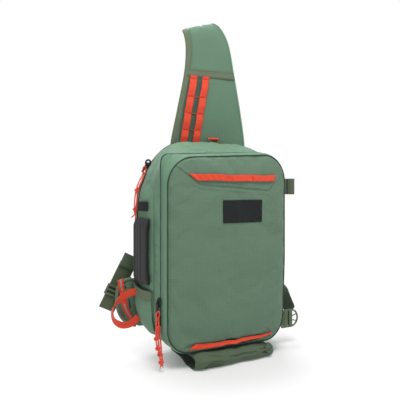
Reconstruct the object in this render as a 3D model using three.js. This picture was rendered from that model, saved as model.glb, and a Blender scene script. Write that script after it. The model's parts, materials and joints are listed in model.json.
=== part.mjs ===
// A sling pack for fishing tackle, standing on its rolled base sleeve.
// Millimetres, +Z up. The front face looks along -Y and the strap rises at the back.
// The origin is the centre of the sleeve's flat underside.
import * as THREE from 'three';
import { mergeVertices } from 'three/addons/utils/BufferGeometryUtils.js';

// Sizes of the body
const BODY_HALF_WIDTH = 172;
const BODY_HEIGHT = 451;
const BODY_DEPTH = 128;
const FRONT_Y = -62;
const CLOTH = 2;
const GAP = 0.3;
const GUSSET_DEPTH = 22;
const PANEL_BULGE = 9;
const BACK_PAD = 12;

// Sizes of the base sleeve
const SLEEVE_LENGTH = 200;
const SLEEVE_DEPTH = 156;
const SLEEVE_HEIGHT = 32.7;
const SLEEVE_LEFT_X = -89;
const SLEEVE_FRONT_Y = -78;

// Sizes of webbing, tape, zips and cords
const WIDE_WEB = 38;
const DAISY_WIDTH = 18;
const LOOP_WIDTH = 15;
const WEB_THICK = 1.6;
const ZIP_WIDTH = 7;
const ZIP_THICK = 1.4;
const CORD_DIAMETER = 3;
const MAIN_PULL_LENGTH = 12;
const FRONT_PULL_LENGTH = 24;
const TOP_STRIP_WIDTH = 14;
const BOTTOM_STRIP_WIDTH = 10;
const MAIN_ZIP_DEPTH = 109;
const FRONT_ZIP_DEPTH = 23.6;

// Sizes of the strap, in the frame of the bag
const STRAP_THICK = 8;
const STRAP_HEIGHT = 378;
const STRAP_WIDTH = 203;

// Sizes of the handle, ring and buckles
const HANDLE_LENGTH = 147;
const HANDLE_WIDTH = 52;
const HANDLE_RISE = 17;
const HANDLE_THICK = 5;
const HANDLE_DEPTH = 76;
const RING_WIDTH = 37;
const RING_REACH = 26;
const RING_WIRE = 4;
const LOCK_LENGTH = 50;
const LOCK_WIDTH = 44;
const LOCK_THICK = 4;

// The facets of the low corners lie this far inside their true curve
const FACET_SAG = 1;
const BODY_BOTTOM = SLEEVE_HEIGHT + GAP;
const HANDLE_MID_Z = BODY_BOTTOM + 0.455 * BODY_HEIGHT;
const STRAP_BASE_Z = BODY_BOTTOM + 0.825 * BODY_HEIGHT;
const STRAP_BASE_DEPTH = BODY_DEPTH + BACK_PAD + 2 * GAP + STRAP_THICK / 2;

const COLOURS = {
  sage: 0x68896f,
  lightSage: 0x7da58c,
  olive: 0x707a62,
  drab: 0x5f7858,
  orange: 0xe4583a,
  black: 0x2a2b2c,
  rubber: 0x424040,
  plastic: 0x6c7b5d,
  darkWeb: 0x2d382b,
};

const model = new THREE.Group();

function cloth(colour) {
  return new THREE.MeshStandardMaterial({ color: COLOURS[colour], roughness: 0.85, metalness: 0 });
}

function plastic(colour) {
  return new THREE.MeshStandardMaterial({ color: COLOURS[colour], roughness: 0.45, metalness: 0 });
}

function point(x, depth, z) {
  return new THREE.Vector3(x, FRONT_Y + depth, z);
}

function mix(a, b, share) {
  return a + (b - a) * share;
}

function clamp(value, low, high) {
  return Math.min(high, Math.max(low, value));
}

// Six times the signed volume of a triangle list, positive when its faces point out
function signedVolume(vertices, faces) {
  let total = 0;
  for (const [a, b, c] of faces) {
    total += vertices[a].dot(new THREE.Vector3().crossVectors(vertices[b], vertices[c]));
  }
  return total;
}

function solid(vertices, faces) {
  const outward = signedVolume(vertices, faces) > 0;
  const positions = [];
  vertices.forEach((vertex) => positions.push(vertex.x, vertex.y, vertex.z));
  const index = faces.flatMap(([a, b, c]) => (outward ? [a, b, c] : [a, c, b]));
  const geometry = new THREE.BufferGeometry();
  geometry.setAttribute('position', new THREE.Float32BufferAttribute(positions, 3));
  geometry.setIndex(index);
  return geometry;
}

function add(name, geometry, material) {
  const mesh = new THREE.Mesh(geometry, material);
  mesh.name = name;
  model.add(mesh);
  return mesh;
}

// Joins rings of points into one skin. A looped skin closes on its first ring,
// any other skin is capped at both ends.
function loft(rings, looped = false) {
  const count = rings[0].length;
  const vertices = rings.flat();
  const faces = [];
  const joins = looped ? rings.length : rings.length - 1;
  for (let ring = 0; ring < joins; ring += 1) {
    const here = ring * count;
    const next = ((ring + 1) % rings.length) * count;
    for (let i = 0; i < count; i += 1) {
      const j = (i + 1) % count;
      faces.push([here + i, next + i, next + j], [here + i, next + j, here + j]);
    }
  }
  if (!looped) {
    capRing(vertices, faces, 0, rings[0], true);
    capRing(vertices, faces, (rings.length - 1) * count, rings[rings.length - 1], false);
  }
  return solid(vertices, faces);
}

// A fan over one end ring, from its first corner where it is a plain four-sided end
function capRing(vertices, faces, start, ring, first) {
  const count = ring.length;
  const push = (a, b, c) => faces.push(first ? [a, b, c] : [a, c, b]);
  if (count === 4) {
    push(start, start + 1, start + 2);
    push(start, start + 2, start + 3);
    return;
  }
  const middle = new THREE.Vector3();
  ring.forEach((vertex) => middle.addScaledVector(vertex, 1 / count));
  vertices.push(middle);
  for (let i = 0; i < count; i += 1) {
    push(vertices.length - 1, start + i, start + ((i + 1) % count));
  }
}

function steps(from, to, count) {
  return Array.from({ length: count + 1 }, (_, i) => mix(from, to, i / count));
}

// A thin closed slab over a grid: place(u, v, height) gives a point of its surface,
// low and high are the heights of its two faces, as numbers or functions of u and v.
function slab(us, vs, place, low, high) {
  const at = (face, u, v) => place(u, v, typeof face === 'function' ? face(u, v) : face);
  const rings = us.map((u) => {
    const top = vs.map((v) => at(high, u, v));
    const under = vs.map((v) => at(low, u, v)).reverse();
    return [...top, ...under];
  });
  const count = vs.length;
  const vertices = rings.flat();
  const faces = [];
  for (let ring = 0; ring < rings.length - 1; ring += 1) {
    const here = ring * count * 2;
    const next = here + count * 2;
    for (let i = 0; i < count * 2; i += 1) {
      const j = (i + 1) % (count * 2);
      faces.push([here + i, next + i, next + j], [here + i, next + j, here + j]);
    }
  }
  for (const [start, first] of [[0, true], [(rings.length - 1) * count * 2, false]]) {
    for (let i = 0; i < count - 1; i += 1) {
      const a = start + i;
      const b = start + i + 1;
      const c = start + 2 * count - 2 - i;
      const d = start + 2 * count - 1 - i;
      const pair = [[a, b, c], [a, c, d]];
      pair.forEach(([p, q, r]) => faces.push(first ? [p, q, r] : [p, r, q]));
    }
  }
  return solid(vertices, faces);
}

// The body's sections. Depth is a share of BODY_DEPTH; left and right of BODY_HALF_WIDTH;
// bottom and top of BODY_HEIGHT, from the body's underside; the corner radii of
// BODY_HALF_WIDTH; rise is how far the top slopes up to the right, of BODY_HEIGHT.
const BODY_SECTIONS = [
  { depth: 0.0, left: 0.826, right: 0.843, bottom: 0.004, top: 0.914, rise: 0.02,
    topWide: 0.32, topHigh: 0.34, lowWide: 0.3, lowHigh: 0.3 },
  { depth: 0.08, left: 0.85, right: 0.862, bottom: 0.001, top: 0.922, rise: 0.02,
    topWide: 0.35, topHigh: 0.38, lowWide: 0.31, lowHigh: 0.32 },
  { depth: 0.19, left: 0.862, right: 0.876, bottom: 0.0, top: 0.932, rise: 0.02,
    topWide: 0.38, topHigh: 0.44, lowWide: 0.33, lowHigh: 0.36 },
  { depth: 0.34, left: 0.89, right: 0.915, bottom: 0.0, top: 0.96, rise: 0.006,
    topWide: 0.48, topHigh: 0.62, lowWide: 0.36, lowHigh: 0.42 },
  { depth: 0.59, left: 0.975, right: 0.985, bottom: 0.004, top: 0.99, rise: 0,
    topWide: 0.58, topHigh: 0.86, lowWide: 0.42, lowHigh: 0.5 },
  { depth: 0.8, left: 1.0, right: 1.0, bottom: 0.011, top: 1.0, rise: 0,
    topWide: 0.64, topHigh: 0.98, lowWide: 0.46, lowHigh: 0.56 },
  { depth: 1.0, left: 0.985, right: 0.985, bottom: 0.02, top: 0.984, rise: 0,
    topWide: 0.64, topHigh: 0.98, lowWide: 0.46, lowHigh: 0.56 },
];

// One section of the body at a depth behind its front edge, in millimetres
function bodySection(depth) {
  const share = clamp(depth / BODY_DEPTH, 0, 1);
  let row = 0;
  while (row < BODY_SECTIONS.length - 2 && share > BODY_SECTIONS[row + 1].depth) {
    row += 1;
  }
  const low = BODY_SECTIONS[row];
  const high = BODY_SECTIONS[row + 1];
  const part = (share - low.depth) / (high.depth - low.depth);
  const value = (name) => mix(low[name], high[name], part);
  return {
    left: -value('left') * BODY_HALF_WIDTH,
    right: value('right') * BODY_HALF_WIDTH,
    bottom: BODY_BOTTOM + value('bottom') * BODY_HEIGHT,
    top: BODY_BOTTOM + value('top') * BODY_HEIGHT,
    rise: value('rise') * BODY_HEIGHT,
    topWide: value('topWide') * BODY_HALF_WIDTH,
    topHigh: value('topHigh') * BODY_HALF_WIDTH,
    lowWide: value('lowWide') * BODY_HALF_WIDTH,
    lowHigh: value('lowHigh') * BODY_HALF_WIDTH,
  };
}

// The outline's stretches, from the middle of the underside round by the left
const STRETCHES = [
  { kind: 'bottomLeft', share: 0.06, cuts: 1 },
  { kind: 'cornerLowLeft', share: 0.14, cuts: 4 },
  { kind: 'sideLeft', share: 0.13, cuts: 2 },
  { kind: 'cornerTopLeft', share: 0.14, cuts: 5 },
  { kind: 'top', share: 0.06, cuts: 2 },
  { kind: 'cornerTopRight', share: 0.14, cuts: 5 },
  { kind: 'sideRight', share: 0.13, cuts: 2 },
  { kind: 'cornerLowRight', share: 0.14, cuts: 4 },
  { kind: 'bottomRight', share: 0.06, cuts: 1 },
];
const OUTLINE = [];
STRETCHES.forEach(({ share, cuts }, row) => {
  const start = STRETCHES.slice(0, row).reduce((sum, stretch) => sum + stretch.share, 0);
  steps(start, start + share, cuts).slice(0, -1).forEach((along) => OUTLINE.push(along));
});

// A point of a section at a share of the way round, moved in or out by lift
function outlineAt(section, along, lift = 0) {
  const { left, right, bottom, top, rise, topWide, topHigh, lowWide, lowHigh } = section;
  let rest = along - Math.floor(along);
  let row = 0;
  while (row < STRETCHES.length - 1 && rest > STRETCHES[row].share) {
    rest -= STRETCHES[row].share;
    row += 1;
  }
  const part = rest / STRETCHES[row].share;
  const middle = (left + right) / 2;
  const turn = (part * Math.PI) / 2;
  const corner = (x, z, wide, high, cosine, sine) => [
    x + cosine * (wide + lift), z + sine * (high + lift)];
  let flat;
  switch (STRETCHES[row].kind) {
    case 'bottomLeft':
      flat = [mix(middle, left + lowWide, part), bottom - lift];
      break;
    case 'cornerLowLeft':
      flat = corner(left + lowWide, bottom + lowHigh, lowWide, lowHigh, -Math.sin(turn), -Math.cos(turn));
      break;
    case 'sideLeft':
      flat = [left - lift, mix(bottom + lowHigh, top - topHigh, part)];
      break;
    case 'cornerTopLeft':
      flat = corner(left + topWide, top - topHigh, topWide, topHigh, -Math.cos(turn), Math.sin(turn));
      break;
    case 'top':
      flat = [mix(left + topWide, right - topWide, part), top + lift];
      break;
    case 'cornerTopRight':
      flat = corner(right - topWide, top - topHigh, topWide, topHigh, Math.sin(turn), Math.cos(turn));
      break;
    case 'sideRight':
      flat = [right + lift, mix(top - topHigh, bottom + lowHigh, part)];
      break;
    case 'cornerLowRight':
      flat = corner(right - lowWide, bottom + lowHigh, lowWide, lowHigh, Math.cos(turn), -Math.sin(turn));
      break;
    default:
      flat = [mix(right - lowWide, middle, part), bottom - lift];
  }
  const height = clamp((flat[1] - bottom) / (top - bottom), 0, 1);
  return [flat[0], flat[1] + ((rise * flat[0]) / BODY_HALF_WIDTH) * height * height];
}

function bodyRing(depth, lift = 0) {
  const section = bodySection(depth);
  return OUTLINE.map((along) => {
    const [x, z] = outlineAt(section, along, lift);
    return point(x, depth, z);
  });
}

function bodyPoint(along, depth, lift) {
  const [x, z] = outlineAt(bodySection(depth), along, lift);
  return point(x, depth, z);
}

// The x of the body's left or right side at a depth and height
function sideX(side, depth, z) {
  const section = bodySection(depth);
  const edge = side === 'left' ? section.left : section.right;
  const inward = side === 'left' ? 1 : -1;
  const aboveTopCorner = z - (section.top - section.topHigh);
  const belowLowCorner = section.bottom + section.lowHigh - z;
  if (aboveTopCorner > 0) {
    const share = clamp(aboveTopCorner / section.topHigh, 0, 1);
    return edge + inward * section.topWide * (1 - Math.sqrt(1 - share * share));
  }
  if (belowLowCorner > 0) {
    const share = clamp(belowLowCorner / section.lowHigh, 0, 1);
    return edge + inward * section.lowWide * (1 - Math.sqrt(1 - share * share));
  }
  return edge;
}

// Depths between two places on the side, with each section's own depth among them
function sideDepths(from, to, count) {
  const kinks = BODY_SECTIONS.map((row) => row.depth * BODY_DEPTH);
  const all = [...steps(from, to, count), ...kinks.filter((depth) => depth > from + 1 && depth < to - 1)];
  return all.sort((a, b) => a - b).filter((depth, i, list) => i === 0 || depth - list[i - 1] > 0.5);
}

function leftSide(depth, z, lift) {
  return point(sideX('left', depth, z) - lift, depth, z);
}

// The front panel's bulge at a place on it
function panelPoint(x, z, lift) {
  const section = bodySection(0);
  const middleX = (section.left + section.right) / 2;
  const middleZ = (section.bottom + section.top) / 2;
  const shareX = clamp(Math.abs(x - middleX) / ((section.right - section.left) / 2), 0, 1);
  const shareZ = clamp(Math.abs(z - middleZ) / ((section.top - section.bottom) / 2), 0, 1);
  const bulge = PANEL_BULGE * (1 - shareX ** 3) * (1 - shareZ ** 4);
  return point(x, -bulge - lift, z);
}

function frontPanel() {
  const edge = bodySection(0);
  const middleX = (edge.left + edge.right) / 2;
  const middleZ = (edge.bottom + edge.top) / 2;
  const face = (share, lift) => OUTLINE.map((along) => {
    const [x, z] = outlineAt(edge, along, 0);
    return panelPoint(mix(middleX, x, share), mix(middleZ, z, share), lift);
  });
  const shares = [0.3, 0.6, 0.8, 0.92, 1];
  const front = shares.map((share) => face(share, CLOTH));
  const back = [...shares].reverse().map((share) => face(share, 0));
  add('front_panel', loft([...front, ...back]), cloth('sage'));
}

function frontGusset() {
  const depths = [GAP, 0.45 * GUSSET_DEPTH, GUSSET_DEPTH];
  const outer = depths.map((depth) => bodyRing(depth));
  const inner = [...depths].reverse().map((depth) => bodyRing(depth, -CLOTH));
  add('front_gusset', loft([...outer, ...inner], true), cloth('lightSage'));
}

function mainCompartment() {
  const shares = [0.205, 0.27, 0.36, 0.47, 0.59, 0.8, 1];
  const depths = shares.map((share) => share * BODY_DEPTH);
  const outer = depths.map((depth) => bodyRing(depth));
  const inner = depths.map((depth, row) => bodyRing(depth + (row === 0 ? CLOTH : 0), -CLOTH));
  add('main_compartment', loft([...outer, ...inner.reverse()]), cloth('lightSage'));
}

function backPanel() {
  const layers = [[GAP, -5], [4, -1], [BACK_PAD - 3, -2], [BACK_PAD, -9]];
  const rings = layers.map(([depth, lift]) => {
    const section = bodySection(BODY_DEPTH);
    return OUTLINE.map((along) => {
      const [x, z] = outlineAt(section, along, lift);
      return point(x, BODY_DEPTH + depth, z);
    });
  });
  add('back_panel', loft(rings), cloth('sage'));
}

// A zip is a band of coil lying on the body, open at the underside
function zip(name, depth, from, to) {
  const place = (along, v, height) => bodyPoint(along, depth + v, height);
  const cuts = OUTLINE.filter((along) => along > from && along < to);
  const band = slab([from, ...cuts, to], [-ZIP_WIDTH / 2, ZIP_WIDTH / 2], place, GAP, GAP + ZIP_THICK);
  add(name, band, cloth('black'));
}

// The rolled sleeve under the body, cloth that is hollow and open at its left end.
// Along is a share of its length; front and back of its depth; height of its height.
const SLEEVE_SECTIONS = [
  { along: 0, front: 0.05, back: 0.97, height: 0.86 },
  { along: 0.07, front: 0.01, back: 1.0, height: 0.97 },
  { along: 0.3, front: 0.0, back: 1.0, height: 1.0 },
  { along: 0.55, front: 0.02, back: 1.0, height: 0.99 },
  { along: 0.8, front: 0.01, back: 0.99, height: 1.0 },
  { along: 0.93, front: 0.06, back: 0.95, height: 0.8 },
  { along: 1.0, front: 0.16, back: 0.86, height: 0.46 },
];

function sleeveRing({ along, front, back, height }, wall) {
  const x = SLEEVE_LEFT_X + along * SLEEVE_LENGTH;
  const middle = (height * SLEEVE_HEIGHT) / 2;
  const half = middle - wall;
  const nearY = SLEEVE_FRONT_Y + front * SLEEVE_DEPTH + wall + half;
  const farY = SLEEVE_FRONT_Y + back * SLEEVE_DEPTH - wall - half;
  const arc = (y, from) => steps(from, from + Math.PI, 6).map((turn) => new THREE.Vector3(
    x, y + half * Math.cos(turn), middle + half * Math.sin(turn)));
  return [...arc(farY, -Math.PI / 2), ...arc(nearY, Math.PI / 2)];
}

function baseSleeve() {
  const outer = SLEEVE_SECTIONS.map((section) => sleeveRing(section, 0));
  const inner = SLEEVE_SECTIONS.map((section, row) => {
    const last = row === SLEEVE_SECTIONS.length - 1;
    const shifted = last ? { ...section, along: section.along - CLOTH / SLEEVE_LENGTH } : section;
    return sleeveRing(shifted, CLOTH);
  });
  add('base_sleeve', loft([...outer.reverse(), ...inner]), cloth('drab'));
}

// The side pocket on the lower left side, and the tape over its mouth
const HANDLE_TO_POCKET = 10;
const POCKET_FRONT = 0.4 * BODY_DEPTH;
const POCKET_BACK = 0.9 * BODY_DEPTH;
const POCKET_LOW_Z = BODY_BOTTOM + 0.07 * BODY_HEIGHT;
const POCKET_MOUTH_Z = HANDLE_MID_Z - HANDLE_LENGTH / 2 - HANDLE_TO_POCKET;
const POCKET_TILT = 7.2;
const HEM_HEIGHT = 18;
const POCKET_FULL = 4;

function pocketPoint(depth, share, height) {
  const lean = POCKET_TILT * ((depth - POCKET_FRONT) / (POCKET_BACK - POCKET_FRONT));
  return leftSide(depth, mix(POCKET_LOW_Z, POCKET_MOUTH_Z + lean, share), height);
}

function sidePocket() {
  const depths = sideDepths(POCKET_FRONT, POCKET_BACK, 5);
  const shares = steps(0, 1, 8);
  const full = (depth, share) => {
    const across = (depth - POCKET_FRONT) / (POCKET_BACK - POCKET_FRONT);
    return GAP + WEB_THICK + POCKET_FULL * Math.sin(Math.PI * across) * Math.sqrt(share);
  };
  add('side_pocket', slab(depths, shares, pocketPoint, 2 * GAP, full), cloth('sage'));
  const hemLow = 1 - HEM_HEIGHT / (POCKET_MOUTH_Z - POCKET_LOW_Z);
  const low = (depth, share) => full(depth, share) + GAP;
  const high = (depth, share) => low(depth, share) + WEB_THICK;
  add('side_pocket_hem', slab(depths, steps(hemLow, 1, 2), pocketPoint, low, high), cloth('olive'));
}

// The moulded side handle: two feet on the side and a raised grip with a recessed face
function sideHandle() {
  const half = HANDLE_LENGTH / 2;
  const near = HANDLE_DEPTH - HANDLE_WIDTH / 2;
  const far = HANDLE_DEPTH + HANDLE_WIDTH / 2;
  const foot = 0.13 * HANDLE_LENGTH;
  const heights = [-half, -half + 0.3 * foot, -half + foot, -half + 1.5 * foot];
  const zs = [...heights, -0.2 * half, 0.2 * half, ...heights.map((z) => -z).reverse()];
  const kink = BODY_SECTIONS[4].depth * BODY_DEPTH;
  const depths = [near, near + 4, near + 10, near + 18, kink, far - 18, far - 10, far - 4, far];
  const place = (z, depth, height) => leftSide(depth, HANDLE_MID_Z + z, height);
  const onFoot = (z) => Math.abs(z) > half - foot - 1;
  const rim = (depth) => Math.min(depth - near, far - depth);
  const under = (z) => (onFoot(z) ? GAP : HANDLE_RISE - HANDLE_THICK);
  const over = (z, depth) => {
    const end = Math.abs(z) > half - 1 ? 0.45 : 1;
    const edge = rim(depth) < 1 ? 0.75 : 1;
    const recess = rim(depth) > 9 && rim(depth) < 12 && Math.abs(z) < half - foot ? 2 : 0;
    return HANDLE_RISE * end * edge - recess;
  };
  add('side_handle', slab(zs, depths, place, under, over), plastic('rubber'));
}

// Daisy chain: one strip of webbing that stands off between its bartacks
function daisy(name, us, vs, place, tacks) {
  const puff = (u) => {
    const nearest = Math.min(...tacks.map((tack) => Math.abs(tack - u)));
    const reach = Math.abs(us[us.length - 1] - us[0]) / (tacks.length + 1);
    return 1.4 * Math.min(1, (2 * nearest) / reach);
  };
  const low = (u) => GAP + puff(u);
  const high = (u) => GAP + puff(u) + WEB_THICK;
  add(name, slab(us, vs, place, low, high), cloth('orange'));
}

// Strips and labels of the front panel. Places are shares of the panel's size.
const PANEL = bodySection(0);
const PANEL_WIDTH = PANEL.right - PANEL.left;
const PANEL_HEIGHT = PANEL.top - PANEL.bottom;
const LABEL_WIDTH = 98;
const LABEL_HEIGHT = 48;

function panelPlace(shareX, shareZ) {
  return [PANEL.left + shareX * PANEL_WIDTH, PANEL.bottom + shareZ * PANEL_HEIGHT];
}

// A strip across the panel whose left end is cut slanted
function panelDaisy(name, shareZ, from, to, width, slant, tackShares) {
  const [, z] = panelPlace(0, shareZ);
  const us = steps(0, 1, 12);
  const vs = [0, 1];
  const place = (u, v, height) => {
    const cut = slant * width * v;
    const x = mix(PANEL.left + from * PANEL_WIDTH + cut, PANEL.left + to * PANEL_WIDTH, u);
    return panelPoint(x, z - width * v, height + CLOTH);
  };
  daisy(name, us, vs, place, tackShares);
}

function labelPatch() {
  const [x, top] = panelPlace(0.44, 0.767);
  const place = (u, v, height) => panelPoint(x + u, top - v, height + CLOTH);
  const patch = slab(steps(0, LABEL_WIDTH, 4), steps(0, LABEL_HEIGHT, 2), place, GAP, GAP + 1.2);
  add('label_patch', patch, cloth('black'));
}

const SIDE_LABEL_WIDTH = 54;
const SIDE_LABEL_HEIGHT = 20;

function sideLabel() {
  const low = HANDLE_MID_Z + HANDLE_LENGTH / 2 + 0.035 * BODY_HEIGHT;
  const near = HANDLE_DEPTH - SIDE_LABEL_WIDTH / 2;
  const depths = sideDepths(near, near + SIDE_LABEL_WIDTH, 4);
  const place = (depth, z, height) => leftSide(depth, z, height);
  const patch = slab(depths, [low, low + SIDE_LABEL_HEIGHT], place, GAP, GAP + 1.2);
  add('side_label', patch, cloth('black'));
}

// The shoulder strap, as rows up the front leg, over the fold and down the rear leg.
// The edges are shares of the strap's width from the body's middle line; the heights are
// shares of its height above its base; back is how far it stands behind, of BODY_DEPTH.
const STRAP_ROWS = [
  { left: -0.37, right: 0.6, low: 0.0, high: 0.0, back: 0.0 },
  { left: -0.372, right: 0.62, low: 0.19, high: 0.19, back: 0.004 },
  { left: -0.3, right: 0.55, low: 0.41, high: 0.41, back: -0.035 },
  { left: -0.21, right: 0.455, low: 0.655, high: 0.665, back: -0.045 },
  { left: -0.19, right: 0.38, low: 0.81, high: 0.86, back: -0.04 },
  { left: -0.205, right: 0.285, low: 0.895, high: 0.965, back: -0.01 },
  { left: -0.205, right: 0.21, low: 0.925, high: 1.0, back: 0.075 },
  { left: -0.13, right: 0.215, low: 0.905, high: 0.972, back: 0.17 },
  { left: -0.075, right: 0.27, low: 0.78, high: 0.79, back: 0.24 },
  { left: -0.06, right: 0.3, low: 0.5, high: 0.51, back: 0.3 },
  { left: 0.06, right: 0.37, low: 0.2, high: 0.225, back: 0.33 },
  { left: 0.2, right: 0.44, low: -0.06, high: -0.03, back: 0.33 },
];

function strapEdge(side, height) {
  return new THREE.CatmullRomCurve3(STRAP_ROWS.map((row) => point(
    row[side] * STRAP_WIDTH,
    STRAP_BASE_DEPTH + row.back * BODY_DEPTH,
    STRAP_BASE_Z + row[height] * STRAP_HEIGHT,
  )), false, 'catmullrom', 0.5);
}
const STRAP_LEFT = strapEdge('left', 'low');
const STRAP_RIGHT = strapEdge('right', 'high');

// A point on the strap: along runs from 0 at its base to 1 at its rear end,
// across from -1 at its left edge to 1, and lift is measured out of its middle.
function strapPoint(along, across, lift) {
  const left = STRAP_LEFT.getPoint(along);
  const right = STRAP_RIGHT.getPoint(along);
  const ahead = STRAP_LEFT.getTangent(along).add(STRAP_RIGHT.getTangent(along));
  const wide = new THREE.Vector3().subVectors(right, left);
  const out = new THREE.Vector3().crossVectors(wide, ahead).normalize();
  return left.lerp(right, (across + 1) / 2).addScaledVector(out, lift);
}

// How far along the front leg its middle reaches a height
function strapAlongAt(z) {
  let low = 0;
  let high = 0.5;
  for (let turn = 0; turn < 30; turn += 1) {
    const middle = (low + high) / 2;
    if (strapPoint(middle, 0, 0).z < z) {
      low = middle;
    } else {
      high = middle;
    }
  }
  return low;
}

const STRAP_FOLD = 6 / 11;
const STRAP_ALONG = [
  ...steps(0, 4 / 11, 8), ...steps(4 / 11, 8 / 11, 16).slice(1), ...steps(8 / 11, 1, 6).slice(1)];

function shoulderStrap() {
  const half = STRAP_THICK / 2;
  const section = [[-1, 0.35], [-0.94, 0.9], [0, 1], [0.94, 0.9], [1, 0.35],
    [1, -0.35], [0.94, -0.9], [0, -1], [-0.94, -0.9], [-1, -0.35]];
  const rings = STRAP_ALONG.map((along) => section.map(
    ([across, lift]) => strapPoint(along, across, lift * half),
  ));
  add('shoulder_strap', loft(rings), cloth('sage'));
}

// Strips that lie on the strap's outer face, between two shares of its length and width
function onStrap(along, across, height) {
  return strapPoint(along, across, STRAP_THICK / 2 + height);
}

function strapTapes() {
  const alongs = STRAP_ALONG.filter((along) => along >= 2 / 11 && along <= STRAP_FOLD);
  const edges = { strap_binding_left: [-1, -0.87], strap_binding_right: [0.87, 1] };
  Object.entries(edges).forEach(([name, across]) => {
    add(name, slab(alongs, across, onStrap, GAP, GAP + WEB_THICK), cloth('olive'));
  });
  const cross = slab(steps(0.262, 0.282, 1), steps(-0.85, 0.85, 2), onStrap, GAP, GAP + WEB_THICK);
  add('strap_cross_binding', cross, cloth('olive'));
}

// Both daisy chains run down from the cross binding, parallel to the left edge
const STRAP_DAISIES = { strap_daisy_left: [13, 16], strap_daisy_right: [45, 48] };
const STRAP_TACKS = [0.1, 0.136, 0.178, 0.216, 0.255];

function strapDaisies() {
  const last = STRAP_TACKS.length - 1;
  const alongs = STRAP_TACKS.slice(0, last).flatMap((tack, i) => steps(tack, STRAP_TACKS[i + 1], 2).slice(0, -1));
  alongs.push(STRAP_TACKS[last]);
  Object.entries(STRAP_DAISIES).forEach(([name, [high, low]]) => {
    const place = (along, v, height) => {
      const wide = STRAP_LEFT.getPoint(along).distanceTo(STRAP_RIGHT.getPoint(along));
      const share = (along - alongs[0]) / (STRAP_TACKS[last] - alongs[0]);
      const start = mix(low, high, share);
      return onStrap(along, (2 * (start + v * DAISY_WIDTH)) / wide - 1, height);
    };
    daisy(name, alongs, [0, 1], place, STRAP_TACKS);
  });
}

// The ring tab is folded round the bar of the D ring, at the foot of the strap
const RING_X = 32;
const RING_Z = BODY_BOTTOM + BODY_HEIGHT + 3 * RING_WIRE;
const TAB_WIDTH = 24;
const TAB_TAIL = 9;
const TAB_SIDES = 12;
const TAB_OUTSIDE = RING_WIRE / 2 + GAP + WEB_THICK;
const TAB_ALONG = strapAlongAt(RING_Z + TAB_TAIL);
const RING_PIVOT_Y = strapPoint(TAB_ALONG, 0.1, STRAP_THICK / 2 + 2 * GAP).y - TAB_OUTSIDE;
const RING_DROOP = -0.55;

function ringTab() {
  const hole = RING_WIRE / 2 + GAP;
  const outside = TAB_OUTSIDE;
  const shape = new THREE.Shape();
  shape.moveTo(outside, 0);
  shape.absarc(0, 0, outside, 0, -1.5 * Math.PI, true);
  shape.lineTo(outside - WEB_THICK, outside + TAB_TAIL);
  shape.lineTo(outside, outside + TAB_TAIL);
  const gap = new THREE.Path();
  gap.absarc(0, 0, hole, 0, Math.PI * 2, false);
  shape.holes.push(gap);
  const geometry = new THREE.ExtrudeGeometry(shape, {
    depth: TAB_WIDTH, bevelEnabled: false, curveSegments: TAB_SIDES });
  geometry.rotateX(Math.PI / 2);
  geometry.rotateZ(Math.PI / 2);
  geometry.translate(RING_X - TAB_WIDTH / 2, RING_PIVOT_Y, RING_Z);
  add('ring_tab', geometry, cloth('orange'));
}

function closedTube(path, radius, sides) {
  const count = path.length;
  const rings = path.map((at, i) => {
    const ahead = path[(i + 1) % count].clone().sub(path[(i + count - 1) % count]).normalize();
    const up = new THREE.Vector3(0, 0, 1);
    const out = new THREE.Vector3().crossVectors(ahead, up).normalize();
    return steps(0, 2 * Math.PI, sides).slice(0, -1).map((turn) => at.clone()
      .addScaledVector(out, radius * Math.cos(turn))
      .addScaledVector(up, radius * Math.sin(turn)));
  });
  return loft(rings, true);
}

function ringPath() {
  const half = (RING_WIDTH - RING_WIRE) / 2;
  const reach = RING_REACH - RING_WIRE / 2;
  const corner = 0.2 * half;
  const bar = steps(-1, 1, 3).map((share) => new THREE.Vector3(share * (half - corner), 0, 0));
  const bend = steps(0, Math.PI, 10).map((turn) => new THREE.Vector3(
    half * Math.cos(turn), -corner - (reach - corner) * Math.sin(turn) ** 0.9, 0));
  return [...bar, ...bend];
}

function dRing() {
  const geometry = closedTube(ringPath(), RING_WIRE / 2, 8);
  geometry.rotateX(-RING_DROOP);
  geometry.translate(RING_X, RING_PIVOT_Y, RING_Z);
  add('d_ring', geometry, plastic('plastic'));
}

// A flat band along edge points: each row gives its centre, and the way its width lies
function band(rows, width, thick, samples) {
  const centres = new THREE.CatmullRomCurve3(rows.map((row) => row.at), false, 'catmullrom', 0.5);
  const last = rows.length - 1;
  const across = (along) => {
    const row = Math.min(last - 1, Math.floor(along * last));
    return rows[row].across.clone().lerp(rows[row + 1].across, along * last - row);
  };
  return slab(steps(0, 1, samples), [-0.5, 0.5], (along, v, height) => {
    const ahead = centres.getTangent(along);
    const wide = across(along);
    wide.addScaledVector(ahead, -wide.dot(ahead)).normalize();
    const out = new THREE.Vector3().crossVectors(ahead, wide);
    return centres.getPoint(along).addScaledVector(wide, v * width).addScaledVector(out, height);
  }, -thick / 2, thick / 2);
}

function vector(x, y, z) {
  return new THREE.Vector3(x, y, z);
}

// The strap's lower webbing runs from the rear leg round the right side to its buckle
const LOCK_X = BODY_HALF_WIDTH + 18;
const LOCK_DEPTH = 40;
const LOCK_Z = BODY_BOTTOM + 0.0665 * BODY_HEIGHT;

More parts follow.
